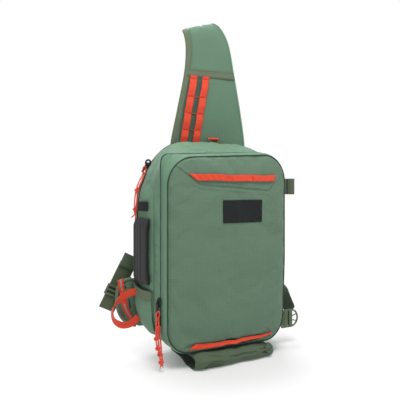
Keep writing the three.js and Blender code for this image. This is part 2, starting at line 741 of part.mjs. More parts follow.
function strapWebbing() {
  const half = BODY_HALF_WIDTH;
  const sewn = STRAP_THICK / 2 + WEB_THICK / 2 + GAP;
  const behind = STRAP_BASE_DEPTH + 0.33 * BODY_DEPTH;
  const plate = LOCK_DEPTH + LOCK_THICK / 2;
  const rows = [
    { at: strapPoint(0.955, 0, sewn), across: vector(1, 0, 0.1) },
    { at: strapPoint(0.995, 0, sewn), across: vector(1, 0, 0.2) },
    { at: point(0.58 * half, behind, 0.66 * BODY_HEIGHT), across: vector(1, 0, 0.4) },
    { at: point(0.86 * half, behind - 0.05 * BODY_DEPTH, 0.5 * BODY_HEIGHT), across: vector(1, 0, 0.6) },
    { at: point(1.12 * half, 1.2 * BODY_DEPTH, 0.36 * BODY_HEIGHT), across: vector(0.7, 0.7, 0.4) },
    { at: point(1.2 * half, 0.85 * BODY_DEPTH, 0.27 * BODY_HEIGHT), across: vector(0.2, 0.8, 0.9) },
    { at: point(1.21 * half, plate + 24, 0.18 * BODY_HEIGHT), across: vector(0.1, 0.15, 0.95) },
    { at: point(LOCK_X + 0.32 * LOCK_LENGTH, plate + 12, LOCK_Z + 6), across: vector(0, 0, 1) },
    { at: point(LOCK_X + 0.1 * LOCK_LENGTH, plate + 6, LOCK_Z + 1), across: vector(0, 0, 1) },
    { at: point(LOCK_X - 0.24 * LOCK_LENGTH, plate + 2.5, LOCK_Z), across: vector(0, 0, 1) },
  ];
  add('strap_webbing', band(rows, WIDE_WEB, WEB_THICK, 26), cloth('darkWeb'));
}

// A buckle plate: a flat outline with slots cut through it, standing in the plane of x and z
function platePlace(geometry, x, depth, z, thick) {
  geometry.rotateX(Math.PI / 2);
  geometry.translate(x, FRONT_Y + depth + thick / 2, z);
  return geometry;
}

function slot(left, low, wide, high) {
  const path = new THREE.Path();
  path.moveTo(left, low);
  path.lineTo(left + wide, low);
  path.lineTo(left + wide, low + high);
  path.lineTo(left, low + high);
  path.closePath();
  return path;
}

function ladderLock() {
  const half = LOCK_WIDTH / 2;
  const shape = new THREE.Shape();
  const round = 0.62 * LOCK_LENGTH;
  shape.moveTo(0, -half);
  shape.lineTo(round, -half);
  shape.absellipse(round, 0, LOCK_LENGTH - round, half, -Math.PI / 2, Math.PI / 2, false);
  shape.lineTo(0, half);
  shape.closePath();
  const slots = [[0.09, 0.12, 0.78], [0.33, 0.12, 0.75], [0.57, 0.13, 0.7]];
  slots.forEach(([left, wide, high]) => shape.holes.push(
    slot(left * LOCK_LENGTH, (-high / 2) * LOCK_WIDTH, wide * LOCK_LENGTH, high * LOCK_WIDTH)));
  const geometry = new THREE.ExtrudeGeometry(shape, {
    depth: LOCK_THICK, bevelEnabled: false, curveSegments: 8 });
  platePlace(geometry, LOCK_X - LOCK_LENGTH / 2, LOCK_DEPTH, LOCK_Z, LOCK_THICK);
  add('ladder_lock', geometry, plastic('plastic'));
  const depth = LOCK_DEPTH - LOCK_THICK / 2 - WEB_THICK / 2 - GAP;
  const seat = sideX('right', LOCK_DEPTH, LOCK_Z + 0.36 * LOCK_WIDTH) + GAP - FACET_SAG;
  const rows = [
    { at: point(seat, depth, LOCK_Z), across: vector(0, 0, 1) },
    { at: point(LOCK_X - 0.34 * LOCK_LENGTH, depth, LOCK_Z), across: vector(0, 0, 1) },
  ];
  add('lock_tab', band(rows, 0.7 * LOCK_WIDTH, WEB_THICK, 3), cloth('olive'));
}

// A webbing loop that stands out of the right side, open through its height
const SIDE_LOOP_REACH = 46;
const SIDE_LOOP_Z = BODY_BOTTOM + 0.77 * BODY_HEIGHT;

function sideLoop() {
  const base = sideX('right', LOCK_DEPTH + WEB_THICK, SIDE_LOOP_Z - WIDE_WEB / 2) + GAP;
  const shape = new THREE.Shape();
  const inner = 4.5;
  const outer = inner + WEB_THICK;
  const far = SIDE_LOOP_REACH - outer;
  shape.moveTo(0, -WEB_THICK);
  shape.lineTo(far, -outer);
  shape.absarc(far, 0, outer, -Math.PI / 2, Math.PI / 2, false);
  shape.lineTo(0, WEB_THICK);
  shape.closePath();
  const gap = new THREE.Path();
  gap.moveTo(0.28 * far, -0.9);
  gap.lineTo(far, -inner);
  gap.absarc(far, 0, inner, -Math.PI / 2, Math.PI / 2, false);
  gap.lineTo(0.28 * far, 0.9);
  gap.closePath();
  shape.holes.push(gap);
  const geometry = new THREE.ExtrudeGeometry(shape, {
    depth: WIDE_WEB, bevelEnabled: false, curveSegments: 6 });
  geometry.translate(base, FRONT_Y + LOCK_DEPTH, SIDE_LOOP_Z - WIDE_WEB / 2);
  add('side_loop', geometry, cloth('olive'));
}

// The wing is a padded flap on the lower left edge, bound in tape, with an orange strip
const WING_THICK = 9;
const WING_DEPTH = 0.96 * BODY_DEPTH;
const WING_REACH = 46;
const WING_LOW_Z = BODY_BOTTOM + 0.09 * BODY_HEIGHT;
const WING_HEIGHT = 104;
// Out is a share of the reach beyond the body's side, up a share of the wing's height
const WING_EDGE = [
  { out: 0.02, up: 1.0 }, { out: 0.3, up: 0.995 }, { out: 0.62, up: 0.97 }, { out: 0.87, up: 0.88 },
  { out: 0.98, up: 0.72 }, { out: 1.0, up: 0.52 }, { out: 0.93, up: 0.33 }, { out: 0.76, up: 0.16 },
  { out: 0.5, up: 0.045 }, { out: 0.2, up: 0.0 }, { out: 0.02, up: 0.0 },
];
const WING_SIDE_X = sideX('left', WING_DEPTH, WING_LOW_Z + WING_HEIGHT);

function wingEdge({ out, up }) {
  const z = WING_LOW_Z + up * WING_HEIGHT;
  const inner = sideX('left', WING_DEPTH, z) - GAP - 1;
  const outer = WING_SIDE_X - WING_REACH;
  return [mix(inner, outer, out), z];
}

function wingPocket() {
  const edge = WING_EDGE.map(wingEdge);
  const inner = steps(0, 1, 5).map((up) => wingEdge({ out: 0, up }));
  const shape = new THREE.Shape([...edge, ...inner].map(([x, z]) => new THREE.Vector2(x, z)));
  const geometry = new THREE.ExtrudeGeometry(shape, { depth: WING_THICK, bevelEnabled: false });
  add('wing_pocket', platePlace(geometry, 0, WING_DEPTH, 0, WING_THICK), cloth('sage'));
  const bound = edge.slice(1, 9);
  const offset = (i, lift) => {
    const [x0, z0] = bound[Math.max(0, i - 1)];
    const [x1, z1] = bound[Math.min(bound.length - 1, i + 1)];
    const length = Math.hypot(x1 - x0, z1 - z0);
    const [x, z] = bound[i];
    return [x + ((z1 - z0) / length) * lift, z - ((x1 - x0) / length) * lift];
  };
  const place = (i, v, height) => {
    const [x, z] = offset(i, height);
    return point(x, WING_DEPTH + v, z);
  };
  const half = WING_THICK / 2 + 1;
  const tape = slab(bound.map((_, i) => i), [-half, half], place, GAP + 0.2, GAP + WEB_THICK);
  add('wing_binding', tape, cloth('olive'));
}

function wingStrip() {
  const depth = WING_DEPTH - WING_THICK / 2 - WEB_THICK / 2 - GAP;
  const place = (out, up) => {
    const [x, z] = wingEdge({ out, up });
    return point(x, depth, z);
  };
  const rows = [
    { at: place(0.74, 0.87), across: vector(1, 0, -0.3) },
    { at: place(0.72, 0.65), across: vector(1, 0, -0.1) },
    { at: place(0.62, 0.42), across: vector(1, 0, 0.25) },
    { at: place(0.4, 0.16), across: vector(1, 0, 0.6) },
  ];
  add('wing_strip', band(rows, 0.8 * LOOP_WIDTH, WEB_THICK, 8), cloth('orange'));
}

// An orange loop of webbing, sewn to the side at both ends, that stands out to the left.
// Out is a share of its reach, up of its height; turn is how upright its width stands.
const LOOP_REACH = 62;
const LOOP_HEIGHT = 62;
const LOOP_BELOW_MOUTH = 64.7;
const LOOP_LOW_Z = POCKET_MOUTH_Z - LOOP_BELOW_MOUTH;
const LOOP_DEPTH = 0.72 * BODY_DEPTH;
const LOOP_ROWS = [
  { out: 0.0, up: 1.0, turn: 1.0 }, { out: 0.3, up: 0.97, turn: 0.95 }, { out: 0.62, up: 0.82, turn: 0.8 },
  { out: 0.9, up: 0.6, turn: 0.45 }, { out: 1.0, up: 0.36, turn: 0.25 }, { out: 0.92, up: 0.1, turn: 0.5 },
  { out: 0.68, up: -0.1, turn: 0.8 }, { out: 0.36, up: -0.1, turn: 0.9 }, { out: 0.0, up: 0.1, turn: 1.0 },
];

function sideLoopOrange() {
  const bulge = POCKET_FULL + 2 * WEB_THICK + 3 * GAP;
  const rows = LOOP_ROWS.map(({ out, up, turn }) => {
    const z = LOOP_LOW_Z + up * LOOP_HEIGHT;
    const start = sideX('left', LOOP_DEPTH, z) - bulge - 0.6;
    const reach = WING_SIDE_X - LOOP_REACH;
    return { at: point(mix(start, reach, out), LOOP_DEPTH, z), across: vector(0, -1 + turn, turn) };
  });
  add('side_loop_orange', band(rows, LOOP_WIDTH, WEB_THICK, 20), cloth('orange'));
}

// The wide webbing that hangs from the left edge, with its tab and adjuster
const TAIL_START = { x: -BODY_HALF_WIDTH + 14, z: BODY_BOTTOM + 0.481 * BODY_HEIGHT };
const TAIL_LENGTH = 160;
const TAIL_SLOPE = vector(-0.455, 0, -0.8905);
const TAIL_TAB_THICK = 3;
const TAIL_DEPTH = BODY_DEPTH + BACK_PAD + TAIL_TAB_THICK / 2 + GAP;
const TAB_LENGTH = 48;
const ADJUSTER_LENGTH = 24;

function tailPoint(along, aside = 0, back = 0) {
  const side = vector(-TAIL_SLOPE.z, 0, TAIL_SLOPE.x);
  return point(TAIL_START.x, TAIL_DEPTH + back, TAIL_START.z)
    .addScaledVector(TAIL_SLOPE, along).addScaledVector(side, aside);
}

function leftWebbing() {
  const wide = vector(-TAIL_SLOPE.z, 0, TAIL_SLOPE.x);
  const flat = (from, to, back) => [
    { at: tailPoint(from, 0, back), across: wide }, { at: tailPoint(to, 0, back), across: wide }];
  add('tail_tab', band(flat(0, TAB_LENGTH, 0), WIDE_WEB, TAIL_TAB_THICK, 2), cloth('sage'));
  const lift = TAIL_TAB_THICK / 2 + WEB_THICK / 2 + GAP;
  add('tail_webbing', band(flat(TAB_LENGTH - 8, TAIL_LENGTH, lift), WIDE_WEB, WEB_THICK, 6), cloth('olive'));
  const half = WIDE_WEB / 2 + 4;
  const shape = new THREE.Shape();
  shape.moveTo(-half, 0);
  shape.lineTo(half, 0);
  shape.lineTo(half, ADJUSTER_LENGTH);
  shape.lineTo(-half, ADJUSTER_LENGTH);
  shape.closePath();
  [[0.2, 0.2, 4], [0.6, 0.2, 4.8]].forEach(([low, high, inset]) => shape.holes.push(
    slot(inset - half, low * ADJUSTER_LENGTH, 2 * (half - inset), high * ADJUSTER_LENGTH)));
  const thick = 3;
  const geometry = new THREE.ExtrudeGeometry(shape, { depth: thick, bevelEnabled: false });
  geometry.rotateX(Math.PI / 2);
  geometry.rotateY(Math.atan2(TAIL_SLOPE.x, TAIL_SLOPE.z));
  const seat = tailPoint(0.66 * TAIL_LENGTH, 0, lift - WEB_THICK / 2 - GAP);
  geometry.translate(seat.x, seat.y, seat.z);
  add('tail_adjuster', geometry, plastic('plastic'));
}

// A zip slider: a rounded body on the coil with a tab and an eye for its cord
function slider(name, at, out, down, length) {
  const width = 9;
  const thick = 4;
  const eye = 2.4;
  const shape = new THREE.Shape();
  shape.moveTo(-width / 2, 0);
  shape.lineTo(-0.36 * width, -length);
  shape.absarc(0, -length, 0.36 * width, Math.PI, 0, false);
  shape.lineTo(width / 2, 0);
  shape.lineTo(0.3 * width, 6);
  shape.lineTo(-0.3 * width, 6);
  shape.closePath();
  const hole = new THREE.Path();
  hole.absarc(0, -length + 0.5, 0.5 * eye, 0, Math.PI * 2, true);
  shape.holes.push(hole);
  const geometry = new THREE.ExtrudeGeometry(shape, { depth: thick, bevelEnabled: false, curveSegments: 5 });
  const side = new THREE.Vector3().crossVectors(down, out).normalize();
  const basis = new THREE.Matrix4().makeBasis(side, down.clone().negate(), out);
  if (basis.determinant() < 0) {
    basis.makeBasis(side.negate(), down.clone().negate(), out);
  }
  geometry.applyMatrix4(basis);
  geometry.translate(at.x, at.y, at.z);
  add(name, geometry, plastic('black'));
}

// The cords' routes, chosen by hand: each leaves its slider's eye and hangs to a knot.
// Places are x, depth behind the front edge, and z.
const CORD_ROUTES = {
  main_pull_cord: [[-155.7, 109, 412], [-161.3, 109, 401], [-169, 109, 386], [-173.5, 109, 371],
    [-176.3, 109, 355], [-177.3, 109, 339], [-177, 109, 322]],
  front_pull_cord_upper: [[-158, 20, 112], [-160, 18, 102], [-162, 16, 88], [-163, 15, 74],
    [-162, 14, 60], [-160, 13, 48]],
  front_pull_cord_lower: [[-157, 20, 82], [-158, 17, 72], [-157, 15, 58], [-156, 13, 44],
    [-155, 12, 30], [-154, 11, 20]],
};

function openTube(points, radius, sides, samples) {
  const curve = new THREE.CatmullRomCurve3(points, false, 'catmullrom', 0.5);
  const rings = steps(0, 1, samples).map((along) => {
    const ahead = curve.getTangent(along);
    const side = new THREE.Vector3().crossVectors(ahead, vector(0, 1, 0)).normalize();
    const other = new THREE.Vector3().crossVectors(side, ahead).normalize();
    return steps(0, 2 * Math.PI, sides).slice(0, -1).map((turn) => curve.getPoint(along)
      .addScaledVector(side, radius * Math.cos(turn))
      .addScaledVector(other, radius * Math.sin(turn)));
  });
  return loft(rings);
}

function pullCords() {
  Object.entries(CORD_ROUTES).forEach(([name, route]) => {
    const points = route.map(([x, depth, z]) => point(x, depth, z));
    add(name, openTube(points, CORD_DIAMETER / 2, 8, 12), cloth('orange'));
  });
}

function sliders() {
  const down = vector(0, 0, -1);
  const left = vector(-1, 0, 0);
  const lift = GAP * 2 + ZIP_THICK;
  const seat = (depth, z) => point(sideX('left', depth + 5, z) - lift, depth, z);
  const height = (share) => BODY_BOTTOM + share * BODY_HEIGHT;
  // The main slider lies on the curve of the top corner, square to it
  const out = vector(-0.876, 0, 0.482);
  const along = vector(-0.482, 0, -0.876);
  const mainSeat = seat(MAIN_ZIP_DEPTH, height(0.867)).addScaledVector(out, 1.8);
  slider('main_slider', mainSeat, out, along, MAIN_PULL_LENGTH);
  slider('front_slider_upper', seat(FRONT_ZIP_DEPTH, height(0.237)), left, down, FRONT_PULL_LENGTH);
  slider('front_slider_lower', seat(FRONT_ZIP_DEPTH, height(0.155)), left, down, FRONT_PULL_LENGTH - 4);
}

frontPanel();
frontGusset();
mainCompartment();
backPanel();
zip('front_zip', FRONT_ZIP_DEPTH + 0.4, 0.17, 0.86);
zip('main_zip', MAIN_ZIP_DEPTH, 0.24, 0.8);
baseSleeve();
sidePocket();
sideHandle();
panelDaisy('panel_daisy_top', 0.9, 0.16, 0.91, TOP_STRIP_WIDTH, 1.2, [0.43, 0.72]);
panelDaisy('panel_daisy_bottom', 0.045, 0.17, 0.88, BOTTOM_STRIP_WIDTH, 1.4, [0.33, 0.66]);
labelPatch();
sideLabel();
shoulderStrap();
strapTapes();
strapDaisies();
ringTab();
dRing();
strapWebbing();
ladderLock();
sideLoop();
wingPocket();
wingStrip();
sideLoopOrange();
leftWebbing();
sliders();
pullCords();

// Meshes keep only positions, with shared vertices joined
model.traverse((mesh) => {
  if (mesh.isMesh) {
    mesh.geometry.deleteAttribute('normal');
    mesh.geometry.deleteAttribute('uv');
    mesh.geometry = mergeVertices(mesh.geometry, 0.0005);
    mesh.geometry.computeVertexNormals();
  }
});

export default model;
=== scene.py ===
"""A fishing tackle sling pack, standing on its rolled base sleeve."""

import json
import math
import random

import bmesh
import bpy
import numpy as np
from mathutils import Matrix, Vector, noise
from mathutils.bvhtree import BVHTree


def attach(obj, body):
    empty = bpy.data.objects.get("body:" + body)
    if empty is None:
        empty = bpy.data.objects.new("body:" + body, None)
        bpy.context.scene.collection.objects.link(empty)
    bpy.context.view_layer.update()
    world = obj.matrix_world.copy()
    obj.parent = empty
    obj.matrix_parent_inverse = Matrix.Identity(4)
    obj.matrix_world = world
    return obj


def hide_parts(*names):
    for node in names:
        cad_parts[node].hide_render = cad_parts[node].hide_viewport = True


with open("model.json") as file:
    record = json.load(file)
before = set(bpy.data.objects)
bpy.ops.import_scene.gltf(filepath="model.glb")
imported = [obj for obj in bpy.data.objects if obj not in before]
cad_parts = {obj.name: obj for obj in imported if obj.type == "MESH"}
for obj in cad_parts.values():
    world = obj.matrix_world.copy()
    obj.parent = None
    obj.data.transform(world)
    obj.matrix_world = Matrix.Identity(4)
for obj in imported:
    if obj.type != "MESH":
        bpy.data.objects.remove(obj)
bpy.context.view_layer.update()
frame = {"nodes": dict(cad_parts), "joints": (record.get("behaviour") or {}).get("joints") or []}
# A fixed seed, so that the cloth wrinkles alike each run
noise.seed_set(7)

# Lengths are in millimetres here and turned into metres where a mesh is made
MM = 0.001
BAG = "bag"
RING = "ring"

# Sizes of the body, as in the part's source
HALF_WIDTH = 172
BODY_HEIGHT = 451
BODY_DEPTH = 128
FRONT_Y = -62
BODY_BOTTOM = 33
PANEL_BULGE = 9
BACK_PAD = 12
FRONT_ZIP_DEPTH = 24
MAIN_ZIP_DEPTH = 109
WIDE_WEB = 38
WEB_THICK = 1.6
GAP = 0.3

# Columns as shares of a size, at shares of the depth: four sides, the rise of the crest,
# and the width and height of the top and the low corners
COLUMNS = ("left", "right", "bottom", "top", "rise", "top_wide", "top_high", "low_wide", "low_high")
COLUMN_SIZES = (-HALF_WIDTH, HALF_WIDTH, *(BODY_HEIGHT,) * 3, *(HALF_WIDTH,) * 4)
SECTION_DEPTHS = (0, 0.08, 0.19, 0.34, 0.59, 0.8, 1)
BODY_SECTIONS = (
    (0.826, 0.843, 0.004, 0.914, 0.02, 0.32, 0.34, 0.3, 0.3),
    (0.85, 0.862, 0.001, 0.922, 0.02, 0.35, 0.38, 0.31, 0.32),
    (0.862, 0.876, 0.0, 0.932, 0.02, 0.38, 0.44, 0.33, 0.36),
    (0.89, 0.915, 0.0, 0.96, 0.006, 0.48, 0.62, 0.36, 0.42),
    (0.975, 0.985, 0.004, 0.99, 0.0, 0.58, 0.86, 0.42, 0.5),
    (1.0, 1.0, 0.011, 1.0, 0.0, 0.64, 0.98, 0.46, 0.56),
    (0.985, 0.985, 0.02, 0.984, 0.0, 0.64, 0.98, 0.46, 0.56),
)
# Shares of the outline where each stretch starts, from the middle of the underside by the left
STARTS = (0, 0.06, 0.20, 0.33, 0.47, 0.53, 0.67, 0.80, 0.94, 1.0001)


def mix(a, b, share):
    return a + (b - a) * share


def smooth(low, high, value):
    share = np.clip((np.asarray(value, float) - low) / (high - low), 0, 1)
    return share * share * (3 - 2 * share)


def unit(ways):
    """Directions of length 1"""
    return ways / np.linalg.norm(ways, axis=-1, keepdims=True)


def bump(value, centre, width):
    """One soft hump of height 1"""
    return np.exp(-(((np.asarray(value, float) - centre) / width) ** 2))


def section(depth):
    """The body's section at a depth, with the kinks between the rows smoothed"""
    share = np.clip(depth / BODY_DEPTH, 0, 1)
    near = np.clip(share + np.array([-0.05, -0.025, 0, 0.025, 0.05]), 0, 1)
    table = np.array(BODY_SECTIONS)
    values = [np.interp(near, SECTION_DEPTHS, column).mean() for column in table.T]
    at = {name: value * size for name, value, size in zip(COLUMNS, values, COLUMN_SIZES)}
    at["bottom"] += BODY_BOTTOM
    at["top"] += BODY_BOTTOM
    return at


def outline(along, at, lift=0.0, square=0.0):
    """x and z round a section. Square draws the upper left corner tight, from 0 to 1."""
    along = np.asarray(along, float) % 1.0
    row = np.clip(np.searchsorted(STARTS, along, side="right") - 1, 0, 8)
    starts = np.array(STARTS)
    part = (along - starts[row]) / (starts[row + 1] - starts[row])
    turn = part * math.pi / 2
    left, right, bottom, top = at["left"], at["right"], at["bottom"], at["top"]
    lw, lh = at["low_wide"], at["low_high"]
    tw, th = at["top_wide"], at["top_high"]
    ltw, lth = tw * (1 - 0.8 * square), th * (1 - 0.8 * square)
    mid = (left + right) / 2
    xs = [
        mix(mid, left + lw, part),
        left + lw - np.sin(turn) * (lw + lift),
        left - lift + 0 * part,
        left + ltw - np.cos(turn) * (ltw + lift),
        mix(left + ltw, right - tw, part),
        right - tw + np.sin(turn) * (tw + lift),
        right + lift + 0 * part,
        right - lw + np.cos(turn) * (lw + lift),
        mix(right - lw, mid, part),
    ]
    zs = [
        bottom - lift + 0 * part,
        bottom + lh - np.cos(turn) * (lh + lift),
        mix(bottom + lh, top - lth, part),
        top - lth + np.sin(turn) * (lth + lift),
        top + lift + 0 * part,
        top - th + np.cos(turn) * (th + lift),
        mix(top - th, bottom + lh, part),
        bottom + lh - np.sin(turn) * (lh + lift),
        bottom - lift + 0 * part,
    ]
    x = np.choose(row, xs)
    z = np.choose(row, zs)
    height = np.clip((z - bottom) / (top - bottom), 0, 1)
    return x, z + at["rise"] * x / HALF_WIDTH * height * height


def tuck(x, z):
    """How much the front narrows at its lower right corner, under its own weight"""
    return 6.5 * (1 - smooth(50, 235, z)) * smooth(60, 165, x)


def wall(along, depth, lift):
    """Points on the body's outline at one depth"""
    square = float(bump(depth, FRONT_ZIP_DEPTH, 11)) if depth > 3 else 0.0
    x, z = outline(along, section(depth), lift, square)
    x = x - tuck(x, z) * (1 - smooth(24, 36, depth))
    return np.stack([x, np.full_like(x, FRONT_Y + depth), z], axis=-1)


def side_x(depth, z, side=-1):
    """x of the left (-1) or right (1) side of the body at a depth and height"""
    at = section(depth)
    edge = at["left"] if side < 0 else at["right"]
    z = np.asarray(z, float)
    over = np.clip((z - at["top"] + at["top_high"]) / at["top_high"], 0, 1)
    under = np.clip((at["bottom"] + at["low_high"] - z) / at["low_high"], 0, 1)
    inward = at["top_wide"] * (1 - np.sqrt(1 - over**2)) + at["low_wide"] * (1 - np.sqrt(1 - under**2))
    return edge - side * inward


# Mesh making


def placed(name, data):
    """A new object of the scene"""
    item = bpy.data.objects.new(name, data)
    bpy.context.scene.collection.objects.link(item)
    return item


def mesh_piece(name, points, faces, uvs, material, body=BAG):
    """A piece from points and weave coordinates in millimetres"""
    data = bpy.data.meshes.new(name)
    data.from_pydata((np.asarray(points, float) * MM).tolist(), [], faces)
    layer = data.uv_layers.new(name="weave")
    index = np.zeros(len(data.loops), int)
    data.loops.foreach_get("vertex_index", index)
    layer.data.foreach_set("uv", (np.asarray(uvs, float) * MM)[index].ravel())
    data.validate()
    data.shade_smooth()
    data.materials.append(material)
    piece = placed(name, data)
    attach(piece, body)
    return piece


def grid_faces(rows, columns, loop_rows=False, loop_columns=False, start=0):
    """Four-sided faces over a grid of points, numbered from start"""
    faces = []
    for i in range(rows if loop_rows else rows - 1):
        a = start + i * columns
        b = start + ((i + 1) % rows) * columns
        for j in range(columns if loop_columns else columns - 1):
            k = (j + 1) % columns
            faces.append((a + j, b + j, b + k, a + k))
    return faces


def lengths(points):
    """Distance run along a line of points"""
    step = np.linalg.norm(np.diff(points, axis=0), axis=1)
    return np.concatenate([[0], np.cumsum(step)])


def uv_grid(u, v):
    """Weave coordinates over rows at u and columns at v"""
    return np.stack(np.meshgrid(u, v, indexing="ij"), axis=-1).reshape(-1, 2)


def grid_uv(grid):
    """Weave coordinates in millimetres over a grid of points"""
    rows, columns = grid.shape[:2]
    u = lengths(grid[:, columns // 2])
    v = lengths(grid[rows // 2])
    return uv_grid(u, v)


def looped_piece(name, grid, material):
    """A closed skin over a grid of points whose rows and columns both loop"""
    faces = grid_faces(*grid.shape[:2], True, True)
    return face_outwards(mesh_piece(name, grid.reshape(-1, 3), faces, grid_uv(grid), material))


def normals(grid):
    """Directions square to a grid of points"""
    across = np.gradient(grid, axis=1)
    ahead = np.gradient(grid, axis=0)
    out = np.cross(across, ahead)
    return out / np.maximum(np.linalg.norm(out, axis=-1, keepdims=True), 1e-9)


def face_outwards(piece):
    """Turns the faces of a closed piece to point out"""
    work = bmesh.new()
    work.from_mesh(piece.data)
    bmesh.ops.recalc_face_normals(work, faces=work.faces)
    work.to_mesh(piece.data)
    work.free()
    return piece


def rim_of(rows, columns):
    """The numbers of the points round the edge of a grid, in order"""
    rim = [i * columns for i in range(rows)]
    rim += [(rows - 1) * columns + j for j in range(1, columns)]
    rim += [i * columns + columns - 1 for i in range(rows - 2, -1, -1)]
    return rim + list(range(columns - 2, 0, -1))


def slab_faces(rows, columns):
    """Faces of a closed sheet between a grid of points and a second grid behind it"""
    count = rows * columns
    faces = grid_faces(rows, columns)
    faces += [tuple(count + i for i in reversed(face)) for face in faces]
    rim = rim_of(rows, columns)
    return faces + [(a, b, count + b, count + a) for a, b in zip(rim, rim[1:] + rim[:1])]


def slab_piece(name, front, back, uvs, material):
    """A closed sheet between two grids of points, with weave coordinates for one of them"""
    points = np.concatenate([front.reshape(-1, 3), back.reshape(-1, 3)])
    uvs = np.concatenate([uvs.reshape(-1, 2)] * 2)
    return face_outwards(mesh_piece(name, points, slab_faces(*front.shape[:2]), uvs, material))


def shell_piece(name, front, thick, material):
    """A closed cloth shell: a grid of points and the same grid moved back by its thickness"""
    return slab_piece(name, front, front - normals(front) * thick, grid_uv(front), material)


def round_uv(rings):
    """Weave coordinates in millimetres over rings of points"""
    middle = rings[len(rings) // 2]
    u = lengths(rings.mean(axis=1))
    v = lengths(np.concatenate([middle, middle[:1]]))[:-1]
    return uv_grid(u, v)


def sweep_piece(name, rings, material, body=BAG, uvs=None, loop=False):
    """A closed skin over rings of points, with capped ends unless it loops"""
    rings = np.asarray(rings, float)
    rows, columns = rings.shape[:2]
    faces = grid_faces(rows, columns, loop, True)
    if not loop:
        faces.append(tuple(range(columns)))
        faces.append(tuple((rows - 1) * columns + j for j in reversed(range(columns))))
    uvs = round_uv(rings) if uvs is None else uvs
    return face_outwards(mesh_piece(name, rings.reshape(-1, 3), faces, uvs, material, body))


# Cloth simulation


def relax(points, faces, held, grow, pressure, cap, frames=20):
    """Lets cloth settle and returns its points in millimetres. Held is 1 where it is sewn down,
    grow is how much larger the cloth is than its form, and cap is how far a point may move."""
    points = np.asarray(points, float)
    data = bpy.data.meshes.new("slack_cloth")
    data.from_pydata((points * MM).tolist(), [], faces)
    body = placed("slack_cloth", data)
    group = body.vertex_groups.new(name="held")
    for i in np.nonzero(held > 0)[0]:
        group.add([int(i)], float(held[i]), "REPLACE")
    cloth = body.modifiers.new("cloth", "CLOTH")
    settings = cloth.settings
    settings.quality = 5
    settings.mass = 0.3
    settings.tension_stiffness = 15
    settings.compression_stiffness = 15
    settings.shear_stiffness = 5
    settings.bending_stiffness = 0.3
    settings.shrink_min = -grow
    settings.vertex_group_mass = "held"
    settings.use_pressure = True
    settings.uniform_pressure_force = pressure
    settings.effector_weights.gravity = 0
    cloth.collision_settings.use_collision = False
    cloth.collision_settings.use_self_collision = False
    scene = bpy.context.scene
    for step in range(1, frames + 1):
        scene.frame_set(step)
    done = body.evaluated_get(bpy.context.evaluated_depsgraph_get())
    moved = np.zeros(len(points) * 3)
    done.data.vertices.foreach_get("co", moved)
    moved = moved.reshape(-1, 3) / MM
    bpy.data.objects.remove(body)
    scene.frame_set(1)
    way = moved - points
    far = np.maximum(np.linalg.norm(way, axis=1, keepdims=True), 1e-9)
    return points + way / far * cap * np.tanh(far / cap)


def applied(piece, kind, **values):
    """Adds a modifier to a piece and applies it"""
    step = piece.modifiers.new("step", kind)
    for name, value in values.items():
        setattr(step, name, value)
    graph = bpy.context.evaluated_depsgraph_get()
    old = piece.data
    piece.data = bpy.data.meshes.new_from_object(piece.evaluated_get(graph))
    piece.modifiers.clear()
    bpy.data.meshes.remove(old)


def pad_out(piece, held_at, voxel, cap, pressure, sag):
    """Turns a padded piece into simulated cloth: remeshed, blown up a little and smoothed"""
    material = piece.data.materials[0]
    applied(piece, "REMESH", mode="VOXEL", voxel_size=voxel * MM)
    data = piece.data
    points = np.zeros(len(data.vertices) * 3)
    data.vertices.foreach_get("co", points)
    points = points.reshape(-1, 3) / MM
    faces = [tuple(face.vertices) for face in data.polygons]
    points = relax(points, faces, held_at(points), sag, pressure, cap)
    data.vertices.foreach_set("co", (points * MM).ravel())
    data.update()
    applied(piece, "SUBSURF", levels=1)
    data = piece.data
    layer = data.uv_layers.new(name="weave")
    for face in data.polygons:
        flat = sorted(range(3), key=lambda axis: abs(face.normal[axis]))[:2]
        low, high = sorted(flat)
        for corner in face.loop_indices:
            at = data.vertices[data.loops[corner].vertex_index].co
            layer.data[corner].uv = (at[low], at[high])
    data.materials.clear()
    data.materials.append(material)
    data.shade_smooth()


# Half of a webbing's section: across from -1 to 1, and height as a share of half its thickness
WEB_SECTION = [(-1, 0), (-0.985, 0.75), (-0.95, 1), (-0.6, 1), (-0.2, 1)]
WEB_SECTION += [(0.2, 1), (0.6, 1), (0.95, 1), (0.985, 0.75)]
WEB_RING = WEB_SECTION + [(-a, -h) for a, h in WEB_SECTION]


def ribbon_rings(centre, wide, out, width, thick):
    """Rings of a webbing along centre points, with its width and outward directions"""
    centre, wide, out = (np.asarray(v, float) for v in (centre, wide, out))
    wide, out = unit(wide), unit(out)
    width = np.broadcast_to(np.asarray(width, float), (len(centre),))
    rings = []
    for across, height in WEB_RING:
        shift = wide * (across * width / 2)[:, None] + out * (height * thick / 2)
        rings.append(centre + shift)
    return np.stack(rings, axis=1)


def ribbon_piece(name, centre, wide, out, width, thick, material):
    """A webbing along centre points, with one width or a width for each point"""
    rings = ribbon_rings(centre, wide, out, width, thick)
    u = lengths(np.asarray(centre, float))
    v = np.array([across for across, _ in WEB_RING]) * np.max(width) / 2
    uvs = uv_grid(u, v)
    return sweep_piece(name, rings, material, BAG, uvs)


def catmull(points, count):
    """A smooth line through points, as the part's source draws it"""
    points = np.asarray(points, float)
    padded = np.concatenate([[2 * points[0] - points[1]], points, [2 * points[-1] - points[-2]]])
    where = np.linspace(0, len(points) - 1, count)
    row = np.minimum(where.astype(int), len(points) - 2)
    t = (where - row)[:, None]
    p0, p1, p2, p3 = (padded[row + i] for i in range(4))
    m1, m2 = (p2 - p0) / 2, (p3 - p1) / 2
    return (
        (2 * t**3 - 3 * t**2 + 1) * p1
        + (t**3 - 2 * t**2 + t) * m1
        + (-2 * t**3 + 3 * t**2) * p2
        + (t**3 - t**2) * m2
    )


